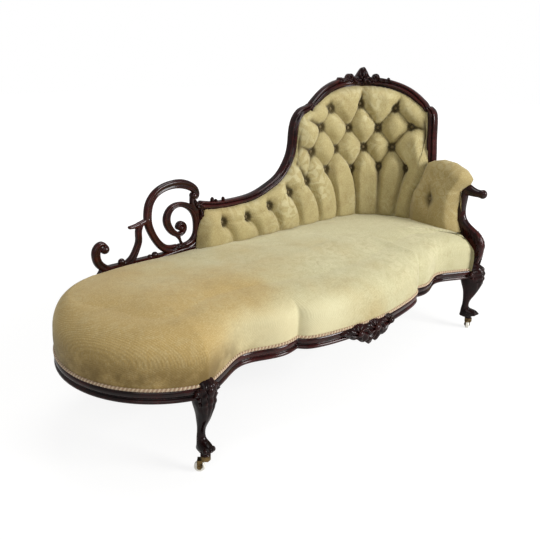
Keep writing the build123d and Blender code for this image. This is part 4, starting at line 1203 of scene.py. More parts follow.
    def rope(self) -> None:
        """Two-strand rope braid along the rail's upper edge."""
        path, normal = SEAT.outline(0.0025, 3600)
        keep = (path[:, 0] < 0.803) & ~((path[:, 1] > 0) & (path[:, 0] > -0.6))
        first = int(np.argmax(keep & ~np.roll(keep, 1)))
        path, normal, keep = (np.roll(v, -first, 0) for v in (path, normal, keep))
        path, normal = path[keep], normal[keep]
        run = run_along(path)
        level = 0.2858
        count = int(run[-1] / 0.001)
        q = np.linspace(0, run[-1], count)
        centre = np.stack([np.interp(q, run, path[:, k]) for k in (0, 1)], -1)
        out = unit(np.stack([np.interp(q, run, normal[:, k]) for k in (0, 1)], -1))
        for index, finish in enumerate(("braid_light", "braid_dark")):
            turn = math.tau * q / 0.0115 + math.pi * index
            radius, wide = 0.0026, 0.0027
            mid = np.concatenate([centre + out * (np.cos(turn) * radius)[:, None],
                                  (level + np.sin(turn) * radius)[:, None]], 1)
            along = unit(np.gradient(mid, axis=0))
            side = unit(np.cross(along, np.array([0.0, 0.0, 1.0])))
            up = np.cross(side, along)
            ring = np.linspace(0, math.tau, 6, endpoint=False)
            grid = mid[:, None, :] + wide * (
                np.cos(ring)[None, :, None] * side[:, None, :]
                + np.sin(ring)[None, :, None] * up[:, None, :])
            nodes = ("gimp_braid",) if index == 0 else ()
            self.piece(f"rope_braid_{index}", [grid], "braid", *nodes, finish=finish)

    def build(self) -> None:
        """Make the seat."""
        self.cover()
        self.rope()
        LOG.info("seat cover and rope braid")


# ---- rails
RAIL_FACE = (
    (0.2812, -0.007), (0.2808, -0.004), (0.2795, -0.0018), (0.277, -0.0002), (0.2735, 0.001),
    (0.27, 0.0014), (0.2665, 0.001), (0.2635, -0.0002), (0.261, -0.0022), (0.259, -0.0046),
    (0.2578, -0.0056), (0.2566, -0.0044), (0.255, -0.0012), (0.2526, 0.001), (0.2496, 0.0018),
    (0.2466, 0.0012), (0.2444, -0.001), (0.2425, -0.0044), (0.2408, -0.008), (0.24, -0.012),
    (0.24, -0.03), (0.3, -0.03), (0.3, -0.0078))


@dataclass
class Rails(SubAssembly):
    """Moulded seat rails, swept along the serpentine outline."""

    splits: tuple[tuple[str, float, float, float, float], ...] = (
        ("foot_rail", -9.0, -0.655, -9.0, 9.0), ("front_rail", -0.612, 0.812, -9.0, 0.0),
        ("rear_rail", -0.612, 0.745, 0.0, 9.0), ("head_rail", 0.82, 9.0, -0.262, 0.2))

    def build(self) -> None:
        """Make the four rails."""
        path, normal = SEAT.outline(0.0, 1400)
        for node, x0, x1, y0, y1 in self.splits:
            keep = (path[:, 0] > x0) & (path[:, 0] < x1) & (path[:, 1] > y0) & (path[:, 1] < y1)
            first = int(np.argmax(keep & ~np.roll(keep, 1)))
            p, n, k = (np.roll(v, -first, 0) for v in (path, normal, keep))
            last = int(np.argmin(k)) if not k.all() else len(k)
            p, n = p[:last], n[:last]
            grid = np.stack([np.concatenate([p + n * out, np.full((len(p), 1), z)], 1)
                             for z, out in RAIL_FACE], 1)
            self.piece(f"{node}_moulding", [grid], "show_wood", node)
        LOG.info("seat rails")


# ---- front legs
@dataclass
class FrontLeg(SubAssembly):
    """Cabriole leg with a shell-carved knee and a scrolled toe.

    Attributes:
        node: CAD node it stands for.
        x: Its axis.
        lean: Turn of the knee and toe towards the head end, in degrees.
        ears: Reach of the knee's side brackets, towards the foot end and the head end.
        set_back: How far the knee and toe stand back from the drawn sections.
        stout: Scale of every section above the castor.
        levels: Height, front, back and width of each section, from the castor up.
    """

    node: str
    x: float
    lean: float
    ears: Pair
    set_back: float
    stout: float = 1.0
    axis: float = 0.284
    levels: tuple[Four, ...] = mm(
        (54.5, -295.5, -272.5, 23), (57.5, -300, -272.5, 25), (65, -320, -274, 31),
        (73, -340, -276.5, 36), (82, -345, -278, 37), (90, -332, -277.5, 32), (96, -315, -277, 27),
        (103, -306, -277.5, 24.5), (118, -303, -279, 22.5), (136, -307, -279.5, 24),
        (158, -318.5, -279, 32), (184, -331, -276, 41), (212, -340, -268, 54),
        (235, -345, -263, 62), (255, -346, -262, 64), (278, -344, -266, 60), (294, -335, -272, 46),
        (305, -320, -279, 24))

    def place(self, across: Array, forward: Array, z: Array) -> Array:
        """Points by how far across and how far in front of the leg's axis.

        Args:
            across: Distance across.
            forward: Distance forward.
            z: Height.

        Returns:
            Points in space.
        """
        turn = math.radians(self.lean)
        x = self.x + across * math.cos(turn) + forward * math.sin(turn)
        y = -0.284 + across * math.sin(turn) - forward * math.cos(turn)
        return np.stack(np.broadcast_arrays(x, y, z), -1)

    def body(self) -> Object:
        """The leg itself; a shell's flutes run over the knee and a roll round the toe.

        Returns:
            The leg's object.
        """
        rows = np.asarray(self.levels)
        z = np.linspace(rows[0, 0], rows[-1, 0], 190)[:, None]
        cols = spline(np.column_stack([rows[:, 0], np.zeros(len(rows)), rows[:, 1:]]), 500)
        front, back, width = (np.interp(z, cols[:, 0], cols[:, k]) for k in (2, 3, 4))
        turn = np.linspace(0, math.tau, 120, endpoint=False)[None, :]
        side, fore = np.cos(turn), np.sin(turn)
        side = np.sign(side) * np.abs(side) ** 0.9
        fore = np.sign(fore) * np.abs(fore) ** 0.9
        knee = ease(z, 0.165, 0.235) * ease(fore, -0.2, 0.5)
        fan = np.abs(np.cos(3.6 * (side + 0.9 * side * (0.3 - z) / 0.11))) ** 0.7
        scales = 0.5 + 0.5 * np.cos(math.tau * (z - 0.3 + 0.02 * side * side) / 0.024)
        lift = knee * (0.0034 * fan - 0.0016 * scales * ease(z, 0.2, 0.24) - 0.0015)
        from_toe = ((z - 0.0775) ** 2 + (0.013 * (1 - fore)) ** 2) ** 0.5
        groove = -0.0022 * np.exp(-(from_toe / 0.004 - 1.6) ** 2)
        roll = groove * (z < 0.097) * ease(fore, -0.3, 0.4)
        edge = 0.0012 * np.exp(-((np.abs(side) - 0.72) / 0.1) ** 2)
        edge = edge * ease(fore, 0.0, 0.3) * ease(-z, -0.23, -0.16)
        grow = 1 + (lift + roll + edge) / 0.024
        across = width / 2 * side * grow
        above = ease(z, 0.0545, 0.066)
        stout = 1 + (self.stout - 1) * above
        middle = -(front + back) / 2 - self.axis - self.set_back * above
        half = (back - front) / 2 * stout
        grid = self.place(across * stout, middle + half * fore * grow, z)
        made = self.piece(
            f"{self.node}_shape", [grid, self.spigot()], "show_wood", self.node, finish="carved")
        return made

    def spigot(self) -> Array:
        """End of the leg in the castor's cup.

        Returns:
            Stations, section points and coordinates.
        """
        turn = np.linspace(0, math.tau, 120, endpoint=False)
        z = np.array([0.0415, 0.0565])[:, None]
        return self.place(0.0125 * np.cos(turn)[None, :], 0.0125 * np.sin(turn)[None, :], z)

    def carving(self) -> None:
        """Bracket leaves beside the knee, its cabochon and the eyes of the toe's volute."""
        x, back, pieces = self.x, self.set_back, []
        for side, reach in zip((-1, 1), self.ears):
            for drop, share in ((0.0, 1.0), (0.02, 0.66)):
                path = [
                    (x + side * 0.018, -0.326 + back * 0.6, 0.28 - drop),
                    (x + side * (0.018 + reach * 0.5 * share), -0.312 + back * 0.4, 0.268 - drop),
                    (x + side * (0.018 + reach * share), -0.3, 0.262 - drop * 0.7)]
                pieces.append(leaf(
                    path, (side * 0.3, -1, 0), 0.026, lobes=3, relief=0.003, thick=0.012,
                    notch=0.25))
        self.piece(f"{self.node}_brackets", pieces, "carved_wood")
        turn = math.radians(self.lean)
        ahead = (math.sin(turn), -math.cos(turn), 0.15)
        sideways = (math.cos(turn), math.sin(turn), 0.0)
        spot = self.place(np.array(0.0), np.array(0.0575 - back), np.array(0.27))
        beads = [dome(spot, ahead, (0, 0, 1), (0.015, 0.01, 0.009))]
        for side in (-1, 1):
            eye = self.place(np.array(side * 0.0135), np.array(0.046 - back), np.array(0.0775))
            beads.append(dome(eye, (side * sideways[0], side * sideways[1], 0.0), (0, 0, 1),
                              (0.0085, 0.0085, 0.0075)))
            for up, out in ((0.246, 0.026), (0.228, 0.024)):
                spot = self.place(np.array(side * out), np.array(0.04 - back), np.array(up))
                beads.append(dome(spot, (side, -1, 0), (0, 0, 1), (0.0075, 0.006, 0.007)))
        self.piece(f"{self.node}_beads", beads, "carved_wood")

    def build(self) -> None:
        """Make the leg."""
        self.body()
        self.carving()
        LOG.info("%s", self.node)


# ---- back frame
@dataclass
class BackFrame(SubAssembly):
    """Sweep rail, uprights and crest rail with their carving."""

    middle: float = 0.723
    half: float = 0.3079
    sweep: tuple[Triple, ...] = mm(
        (-158, 592, 34), (-100, 583, 31), (-32.5, 580.5, 30), (47.5, 582, 30), (112.5, 590, 31),
        (189.5, 616, 32), (253.5, 650, 34), (289, 688, 36), (314, 730, 38), (325.5, 775, 38),
        (332.5, 850, 36), (350, 888, 34), (378.5, 910.5, 30), (410.5, 921.5, 25), (423.5, 930, 20))

    def crest_line(self) -> tuple[Triple, ...]:
        """Middle line and width of the crest rail.

        Returns:
            Developed length, height and width of each station.
        """
        half = mm(
            (-985, 913, 20), (-945, 930, 25), (-870, 947.5, 31), (-740, 974, 36), (-520, 1003, 40),
            (-270, 1019, 42), (0, 1023, 42))
        full = half + tuple((-a, z, w) for a, z, w in reversed(half[:-1]))
        return tuple((self.middle + self.half * a, z, w) for a, z, w in full)

    def right_line(self) -> tuple[Triple, ...]:
        """Middle line and width of the right upright.

        Returns:
            Developed length, height and width of each station.
        """
        return mm(
            (1034.5, 921.5, 22), (1050, 906, 30), (1056, 880, 36), (1058.5, 840, 38),
            (1061, 790, 39), (1066, 735, 40), (1070, 675, 40))

    def build(self) -> None:
        """Make the frame of the back."""
        bars = (("sweep_rail", self.sweep, 150), ("crest_rail", self.crest_line(), 130),
                ("right_upright", self.right_line(), 60))
        for node, line, count in bars:
            grid = Bar(tuple(line), 0.0, 0.038, samples=count, tips=(0.3, 0.3)).grid()
            self.piece(f"{node}_moulding", [grid], "show_wood", node)
        self.carving()
        LOG.info("back frame")

    def at(self, s: float, z: float, depth: float) -> Triple:
        """A point on the crest, s from its middle."""
        return tuple(
            float(v) for v in PLAN.place(np.array(self.middle + s), np.array(z), np.array(depth)))

    def carving(self) -> None:
        """Carved cresting with its finial, and buds on the sweep rail."""
        spots = np.linspace(self.middle - 0.14, self.middle + 0.134, 13)
        fine = spline(self.crest_line(), 300)
        rail_top = np.interp(spots, fine[:, 0], fine[:, 1] + fine[:, 2] / 2)
        thin = 1 - np.abs(spots - self.middle + 0.003) / 0.14
        low = tuple(zip(
            spots.tolist(), (rail_top - 0.006 - 0.034 * np.clip(thin, 0, 1) ** 0.8).tolist()))
        top = tuple(zip(spots.tolist(), (rail_top - 0.002).tolist()))
        m = self.middle
        lobes = (
            (m - 0.003, 0.046, 0.044, 3.2), (m - 0.0035, 0.034, 0.007, 0.7),
            (m - 0.0675, 0.0165, 0.0185, 0.5), (m + 0.0595, 0.0165, 0.0185, 0.5),
            (m - 0.12, 0.0085, 0.0105, 0.8), (m + 0.117, 0.0085, 0.0105, 0.8),
            (m - 0.092, 0.02, 0.003, 0.6), (m + 0.088, 0.02, 0.003, 0.6))
        hubs = (
            (m - 0.003, 1.034), (m - 0.0675, 1.034), (m + 0.0595, 1.034), (m - 0.112, 1.03),
            (m + 0.108, 1.03))
        carving = Relief(low, top, lobes, (), hubs, 0.03, 0.019, 0.024)
        self.piece("crest_carving_leaves", [carving.grid(230, 40)], "carved_wood", "crest_carving")
        inward = (-1.0, -1.0, 0.15)
        knobs = [
            dome(self.at(s, z, d), inward, (0, 0, 1), (r * 1.25, r, r))
            for s, z, d, r in (
                (-0.003, 1.031, 0.05, 0.0085), (-0.0675, 1.046, 0.044, 0.0066),
                (0.0595, 1.046, 0.044, 0.0066))]
        self.piece("crest_knobs", knobs, "carved_wood")
        buds = [dome((s, PLAN.rear - 0.018, z), (0, 0, 1), (1, 0, 0), (r, 0.009, h))
                for s, z, r, h in ((-0.104, 0.603, 0.0075, 0.013), (-0.086, 0.598, 0.006, 0.008),
                                   (-0.05, 0.6, 0.0058, 0.01))]
        self.piece("sweep_bud_carving", buds, "carved_wood", "sweep_buds")


# ---- scrolls
@dataclass
class Scrolls(SubAssembly):
    """Open scrolls of the foot end's low back."""

    rear: float = 0.004
    front: float = 0.027

    def bars(self) -> dict[str, list[Bar]]:
        """Every bar of the scrolls, by the CAD node that it is in.

        Returns:
            Bars by node name.
        """
        big = mm(
            (-272.5, 447, 30), (-317.5, 453, 30), (-353.5, 483, 27), (-379, 524, 27),
            (-392.5, 562, 29), (-393, 597, 30), (-385.5, 630, 30), (-362.5, 661, 29),
            (-330, 679, 30), (-291.5, 686.5, 31), (-242.5, 684, 34), (-205, 670, 32),
            (-183, 650, 28), (-181.5, 632, 24), (-193, 624, 18))
        loop = mm(
            (-250, 446, 26), (-207.5, 452, 33), (-178.5, 480, 38), (-173, 516, 39), (-180, 553, 34),
            (-201, 585, 28), (-232, 604, 22), (-262.5, 610, 19), (-292.5, 601, 22),
            (-310.5, 577, 27), (-312.5, 552, 29), (-301.5, 527, 27), (-283, 507, 23),
            (-262, 498, 19), (-243, 505, 17), (-236, 522, 16), (-246, 538, 15), (-262, 536, 13),
            (-267, 523, 11), (-258, 517, 9))
        neck = mm(
            (-199, 634, 10), (-196, 620, 22), (-190, 602, 36), (-180, 583, 52), (-170, 558, 46),
            (-168, 530, 36), (-174, 495, 30), (-186, 462, 22))
        stem = mm((-275, 497, 12), (-264, 489, 15), (-256, 474, 9), (-245, 452, 18))
        horn = mm(
            (-424.5, 566, 22), (-433, 540, 22), (-433.5, 508, 22), (-445.5, 476, 22),
            (-464.5, 446, 26), (-485, 430, 30))
        spur = mm((-388, 574, 24), (-415, 568, 21), (-440, 562, 17), (-468, 560, 11))
        hook = mm(
            (-535, 420, 24), (-568, 434, 27), (-594, 458, 29), (-602, 486, 30), (-596, 509, 30),
            (-580, 519, 26), (-566, 510, 20))
        base = mm(
            (-565, 408, 16), (-510, 410, 18), (-440, 413, 18), (-360, 423, 18), (-260, 434, 20),
            (-150, 436, 20))
        rear, front = self.rear, self.front
        return {
            "back_scroll": [
                Bar(big, rear, front, SCROLLED, samples=150, tips=(0, 0.5)),
                Bar(loop, rear, front, SCROLLED, samples=220, tips=(0, 0.5)),
                Bar(stem, rear + 0.004, front - 0.004, ROUNDED, samples=24),
                Bar(neck, rear, front - 0.001, ROUNDED, samples=60, tips=(0.8, 0))],
            "foot_scroll": [
                Bar(horn, rear, front, SCROLLED, samples=60, tips=(0.3, 0)),
                Bar(spur, rear + 0.002, front - 0.002, ROUNDED, samples=30, tips=(0, 0.5)),
                Bar(hook, rear, front, SCROLLED, samples=70, tips=(0, 0.5)),
                Bar(base, rear, front, ROUNDED, samples=60)],
        }

    def build(self) -> None:
        """Make the scrolls with their balls, buds and leaf knot."""
        stands_for = {
            "back_scroll": ("back_scroll", "scroll_knot"), "foot_scroll": ("foot_scroll",)}
        for node, bars in self.bars().items():
            for index, bar in enumerate(bars):
                nodes = stands_for[node] if index == 0 else ()
                self.piece(f"{node}_bar_{index}", [bar.grid()], "show_wood", *nodes)
        y = PLAN.rear - 0.016
        balls = [
            dome((x, y, z), (0, 1, 0), (1, 0, 0), (r, r, d))
            for x, z, r, d in mm(
                (-253, 521, 11, 15), (-569, 503, 16.5, 17), (-506.5, 444, 13, 11),
                (-192.5, 634, 14.5, 17), (-390, 436, 11, 10), (-369, 440, 13, 11),
                (-495, 438, 10, 10))]
        self.piece("scroll_balls", balls, "show_wood")
        leaves = []
        face = (0.0, -1.0, 0.0)
        yf = PLAN.rear - 0.03
        veins = (
            (mm((-148, 2, 574), (-166, -3, 586), (-184, -2, 602), (-194, 4, 618)), 0.022),
            (mm((-172, 4, 584), (-163, -2, 566), (-163, 1, 545), (-168, 5, 520)), 0.022),
            (mm((-300, 6, 446), (-265, 2, 455), (-225, 6, 450)), 0.02))
        for vein, wide in veins:
            path = [(x, yf + y, z) for x, y, z in vein]
            leaves.append(leaf(path, face, wide, lobes=3, relief=0.006, thick=0.01))
        self.piece("scroll_knot_leaves", leaves, "carved_wood")


# ---- tufted back
def cm(points: Sequence[Pair]) -> Array:
    """Developed lengths from the foot legs and heights, in centimetres, to the frame's metres."""
    rows = np.asarray(points, float)
    return np.stack([rows[:, 0] * 0.01 - 0.6325, rows[:, 1] * 0.01], -1)


@dataclass
class Membrane:
    """Cloth drawn over stuffing: an inflated sheet, held down along chosen lines and spots.

    Attributes:
        low: Corner of the sheet's raster.
        high: Opposite corner.
        cell: Size of a raster cell.
        pressure: Push of the stuffing, per length of sheet tension.
        rounds: Relaxation rounds.
    """

    low: Pair
    high: Pair
    cell: float = 0.003
    pressure: float = 44.0
    rounds: int = 460

    def __post_init__(self) -> None:
        """Lay out the raster, with no limits yet."""
        counts = [int(round((b - a) / self.cell)) + 1 for a, b in zip(self.low, self.high)]
        axes = [np.linspace(a, b, n) for a, b, n in zip(self.low, self.high, counts)]
        self.u, self.v = np.meshgrid(*axes, indexing="ij")
        self.ceiling = np.full(self.u.shape, 1.0)

    def hold(self, points: Array, depths: Array, wide: float = 0.0016) -> None:
        """Hold the sheet down to depths along a line of points.

        Args:
            points: Places on the sheet.
            depths: Greatest height at each place.
            wide: Half width that is held.
        """
        for (u, v), depth in zip(points, depths):
            i0, i1 = (int((u + d - self.low[0]) / self.cell) for d in (-0.012, 0.012))
            j0, j1 = (int((v + d - self.low[1]) / self.cell) for d in (-0.012, 0.012))
            box = (slice(max(i0, 0), i1 + 2), slice(max(j0, 0), j1 + 2))
            away = np.hypot(self.u[box] - u, self.v[box] - v)
            self.ceiling[box] = np.minimum(
                self.ceiling[box], depth + np.maximum(away - wide, 0) * 9.0)

    def relax(self, border: Array, rim: Array) -> Array:
        """Heights of the sheet at rest.

        Args:
            border: Cells where the sheet is tacked down.
            rim: Height of the sheet there.

        Returns:
            Height by cell.
        """
        height = np.where(border, rim, 0.02)
        swell = self.pressure * self.cell**2
        rows, columns = (np.arange(n) for n in height.shape)
        checker = (np.add.outer(rows, columns) % 2).astype(bool)
        inner = np.zeros_like(border)
        inner[1:-1, 1:-1] = True
        inner &= ~border
        for _ in range(self.rounds):
            for cells in (inner & checker, inner & ~checker):
                around = np.zeros_like(height)
                around[1:-1, 1:-1] = (height[:-2, 1:-1] + height[2:, 1:-1]
                                      + height[1:-1, :-2] + height[1:-1, 2:])
                moved = height + 1.85 * ((around + swell) / 4 - height)
                height = np.where(cells, np.minimum(moved, self.ceiling), height)
        return height

    def sample(self, height: Array, u: Array, v: Array) -> Array:
        """Heights at places between the cells.

        Args:
            height: Heights of the cells.
            u: First coordinate.
            v: Second coordinate.

        Returns:
            The heights at those places.
        """
        a = np.clip((u - self.low[0]) / self.cell, 0, height.shape[0] - 1.001)
        b = np.clip((v - self.low[1]) / self.cell, 0, height.shape[1] - 1.001)
        i, j = a.astype(int), b.astype(int)
        a, b = a - i, b - j
        return (height[i, j] * (1 - a) + height[i + 1, j] * a) * (1 - b) \
            + (height[i, j + 1] * (1 - a) + height[i + 1, j + 1] * a) * b


@dataclass
class TuftedBack(SubAssembly):
    """Deep-buttoned back cover between the frame and the seat."""

    floor: float = 0.425
    rim: float = 0.0285
    foot: float = 0.052
    sunk: float = 0.03
    shallow: float = 0.043
    deepest: float = 0.08
    ends: Pair = (-0.152, 1.0735)
    left_line: tuple[Pair, ...] = mm(
        (430, -193), (454, -191), (490, -186), (523, -176.5), (560, -158.5), (569, -152))
    arm_over: tuple[Pair, ...] = mm(
        (420, 1001), (451, 1001), (493, 1002), (550, 1012), (600, 1036), (685, 1070), (720, 1090))

    def buttons(self) -> Array:
        """Every button as developed length and height.

        Returns:
            One row for each button.
        """
        return cm([
            (116.8, 91.3), (134.3, 93.0), (151.4, 91.4), (110.8, 84.0), (128.7, 82.6),
            (143.9, 82.6), (159.9, 83.7), (105.4, 74.0), (121.0, 73.8), (137.3, 73.9),
            (151.3, 74.2), (115.2, 65.3), (131.6, 64.3), (145.6, 65.2), (159.3, 65.5),
            (102.9, 61.5), (92.4, 58.1), (80.9, 54.1), (68.6, 51.4), (56.2, 51.4)])

    def folds(self) -> list[tuple[Array, Array, float, float]]:
        """Folds as two ends, how far they bow to the head side, and how shallow their far end is.

        Returns:
            Start, end, bow and shallow share of each fold.
        """
        b = self.buttons()
        links = [
            (0, 3), (0, 4), (1, 4), (1, 5), (2, 5), (2, 6), (3, 7), (3, 8), (4, 8), (4, 9), (5, 9),
            (5, 10), (6, 10), (7, 15), (7, 11), (8, 11), (8, 12), (9, 12), (9, 13), (10, 13),
            (10, 14)]
        made = [(b[i], b[j], 0.004 if b[j][0] > b[i][0] else -0.003, 0.0) for i, j in links]
        edges = {0: [(113.6, 99.0), (107.5, 95.0)], 1: [(134.6, 101.5)], 2: [(154.0, 99.0)],
                 3: [(100.0, 88.5)], 6: [(169.0, 82.6)], 7: [(96.0, 77.5)], 15: [(94.5, 72.5)],
                 16: [(87.0, 66.5)], 17: [(76.8, 61.5)], 18: [(66.5, 59.5)], 19: [(54.6, 59.5)]}
        for index, ends in edges.items():
            made += [(b[index], end, 0.004, 1.0) for end in cm(ends)]
        floors = {
            15: 110.3, 16: 97.9, 17: 85.9, 18: 73.9, 19: 60.4, 11: 122.0, 12: 134.8, 13: 146.3,
            14: 155.3}
        for index, foot in floors.items():
            end = cm([(foot, 43.0)])[0]
            made.append((b[index], end, 0.18 * (end[0] - b[index][0]) + 0.001, 0.35))
        made += [(b[i], b[i + 1], 0.0, 2.0) for i in (15, 16, 17, 18)] + [(b[11], b[15], 0.0, 2.0)]
        return made

    def top_edge(self) -> Array:
        """Lower edge of the frame over the pad, by developed length.

        Returns:
            Rows of developed length and height.
        """
        frame_lines = BackFrame(self.palette)
        rows = []
        for line, keep in (
                (frame_lines.sweep, (-1.0, 0.425)), (frame_lines.crest_line(), (0.425, 1.022))):
            fine = spline(line, 160)
            along = unit(np.gradient(fine[:, :2], axis=0))
            low = fine[:, :2] + np.stack([along[:, 1], -along[:, 0]], -1) * (fine[:, 2:3] * 0.38)
            rows.append(low[(low[:, 0] > keep[0]) & (low[:, 0] < keep[1])])
        rows.append(np.array([(1.032, 0.905), (1.041, 0.86), (1.0425, 0.8), (1.0435, 0.76)]))
        rows.append(np.array([(self.ends[1], 0.7)]))
        path = np.concatenate(rows)
        rising = np.maximum.accumulate(path[:, 0])
        return path[(path[:, 0] >= rising - 1e-9)]

    def left(self, z: Array) -> Array:
        """Slanting left end of the pad, beside the scroll, by height."""
        return np.interp(z, *np.transpose(self.left_line))

    def arm_line(self, z: Array) -> Array:
        """Where the arm's pad comes over the back's, by height."""
        return np.interp(z, *np.transpose(self.arm_over))

    def form(self, edge: Array) -> tuple[Membrane, Array]:
        """Relaxed sheet under the frame's edge.

        Args:
            edge: Lower edge of the frame over the pad.

        Returns:
            The sheet and its heights.
        """
        sheet = Membrane((-0.2, self.floor - 0.006), (self.ends[1] + 0.003, 1.026))
        deep, flat = self.sunk, self.shallow
        for a, b, bow, far in self.folds():
            run = b - a
            count = max(int(np.hypot(*run) / 0.0015), 8)
            t = np.linspace(0, 1, count)
            side = unit(np.array([abs(run[1]), run[0] * (-1 if run[1] > 0 else 1)]))
            points = a + np.outer(t, run) + np.outer(np.sin(math.pi * t) * bow, side)
            middle = np.sin(math.pi * np.clip(t, 0, 1)) ** 0.55
            if far >= 2.0:
                depth = 0.05 + 0.012 * middle
            elif far == 1.0:
                depth = deep + (0.038 - deep) * np.clip(t * 2.2, 0, 1) ** 0.8
            elif far > 0:
                depth = deep + (0.054 - deep) * np.clip(t * 1.4, 0, 1) ** 0.7
            else:
                depth = deep + (flat - deep) * middle
            sheet.hold(points, depth)
        for spot in self.buttons():
            turn = np.linspace(0, math.tau, 14)
            around = np.stack([np.cos(turn), np.sin(turn)], -1)
            for reach, drop in ((0.0055, 0.0), (0.009, 0.0015)):
                sheet.hold(spot + reach * around, np.full(14, deep + drop), 0.003)
            sheet.hold(spot[None, :], np.full(1, deep), 0.004)
        under = sheet.u > self.arm_line(sheet.v) + 0.004
        sheet.ceiling = np.where(under, np.minimum(sheet.ceiling, 0.052), sheet.ceiling)
        top = np.interp(sheet.u[:, 0], edge[:, 0], edge[:, 1])[:, None]
        sides = (sheet.u <= self.left(sheet.v) + 0.001) | (sheet.u >= self.ends[1] - 0.001)
        border = (sheet.v >= top) | sides
        low = sheet.v <= self.floor - 0.004
        rim = np.where(low, self.foot, self.rim)
        return sheet, sheet.relax(border | low, rim)

    def creases(self, s: Array, z: Array) -> Array:
        """Fine gathers that run out from each button.

        Args:
            s: Developed length.
            z: Height.

        Returns:
            How deep the gathers cut.
        """
        lift = np.zeros_like(s)
        for spot in self.buttons():
            dx, dz = s - spot[0], z - spot[1]
            away = np.hypot(dx, dz)
            near = np.exp(-((away - 0.016) / 0.012) ** 2)
            turn = np.arctan2(dz, dx) + 0.4 * math.sin(60 * float(spot[0]))
            lift += 0.0013 * near * np.sin(9 * turn) + 0.0007 * near * np.sin(15 * turn + 1)
        return lift

    def cover(self) -> Object:
        """The buttoned cover.

        Returns:
            The cover's object.
        """
        left, right = self.ends
        edge = self.top_edge()
        s = np.linspace(left, right, 500)
        top = np.interp(s, edge[:, 0], edge[:, 1])
        rise = np.linspace(0, 1, 220)[None, :]
        z = self.floor + (top[:, None] - self.floor) * rise
        slant = 1 - np.clip((s - left) / 0.13, 0, 1)[:, None]
        wide = s[:, None] + (self.left(z) - left) * slant
        sheet, height = self.form(edge)
        raw = sheet.sample(height, wide, z) + self.creases(wide, z)
        knee = self.deepest - 0.016
        over = np.maximum(raw - knee, 0) / 0.016
        depth = np.maximum(np.minimum(raw, knee) + 0.016 * np.tanh(over), self.rim)
        grid = PLAN.place(wide, z, depth)
        pick = [-1, 110, 0]
        back = PLAN.place(wide[:, pick], z[:, pick], self.rim - 0.0006)
        # Painted shade: a depth apart from the shape, darkened by the back cloth; it is kept
        # shallow near the edges and sunk round each button to darken the pits.
        inside = np.minimum(top[:, None] - z, wide - self.left(z))
        painted_shade_depth = np.maximum(depth, 0.052 - 0.5 * np.maximum(inside - 0.016, 0))
        for spot in self.buttons():
            painted_shade_depth = painted_shade_depth - 0.013 * np.exp(-(np.hypot(wide - spot[0], z - spot[1]) / 0.018) ** 2)
        flat = np.stack([wide, z, painted_shade_depth], -1)
        rear_flat = np.stack([wide[:, pick], z[:, pick], np.full((len(s), 3), 0.06)], -1)
        made = self.piece(
            "back_cover_cloth", [np.concatenate([grid, back], 1)], "damask", "back_cover",
            "back_stuffing", "back_sacking", finish="back_cloth",
            cloth=[np.concatenate([flat, rear_flat], 1)])
        return made

    def studs(self) -> None:
        """Covered buttons, sunk between the folds."""
        domes, flats = [], []
        for s, z in self.buttons():
            here, inner = PLAN.place(np.array([s, s]), np.array([z, z]), np.array([0.0325, 0.05]))
            grid = dome(here, inner - here, (0, 0, 1), (0.0072, 0.0072, 0.005), 20)
            domes.append(grid)
            flats.append(grid.copy())
        self.piece(
            "back_covered_buttons", domes, "damask", "back_buttons", finish="button_cloth",
            cloth=flats)

    def build(self) -> None:
        """Make the cover and its buttons."""
        self.cover()
        self.studs()
        LOG.info("tufted back")


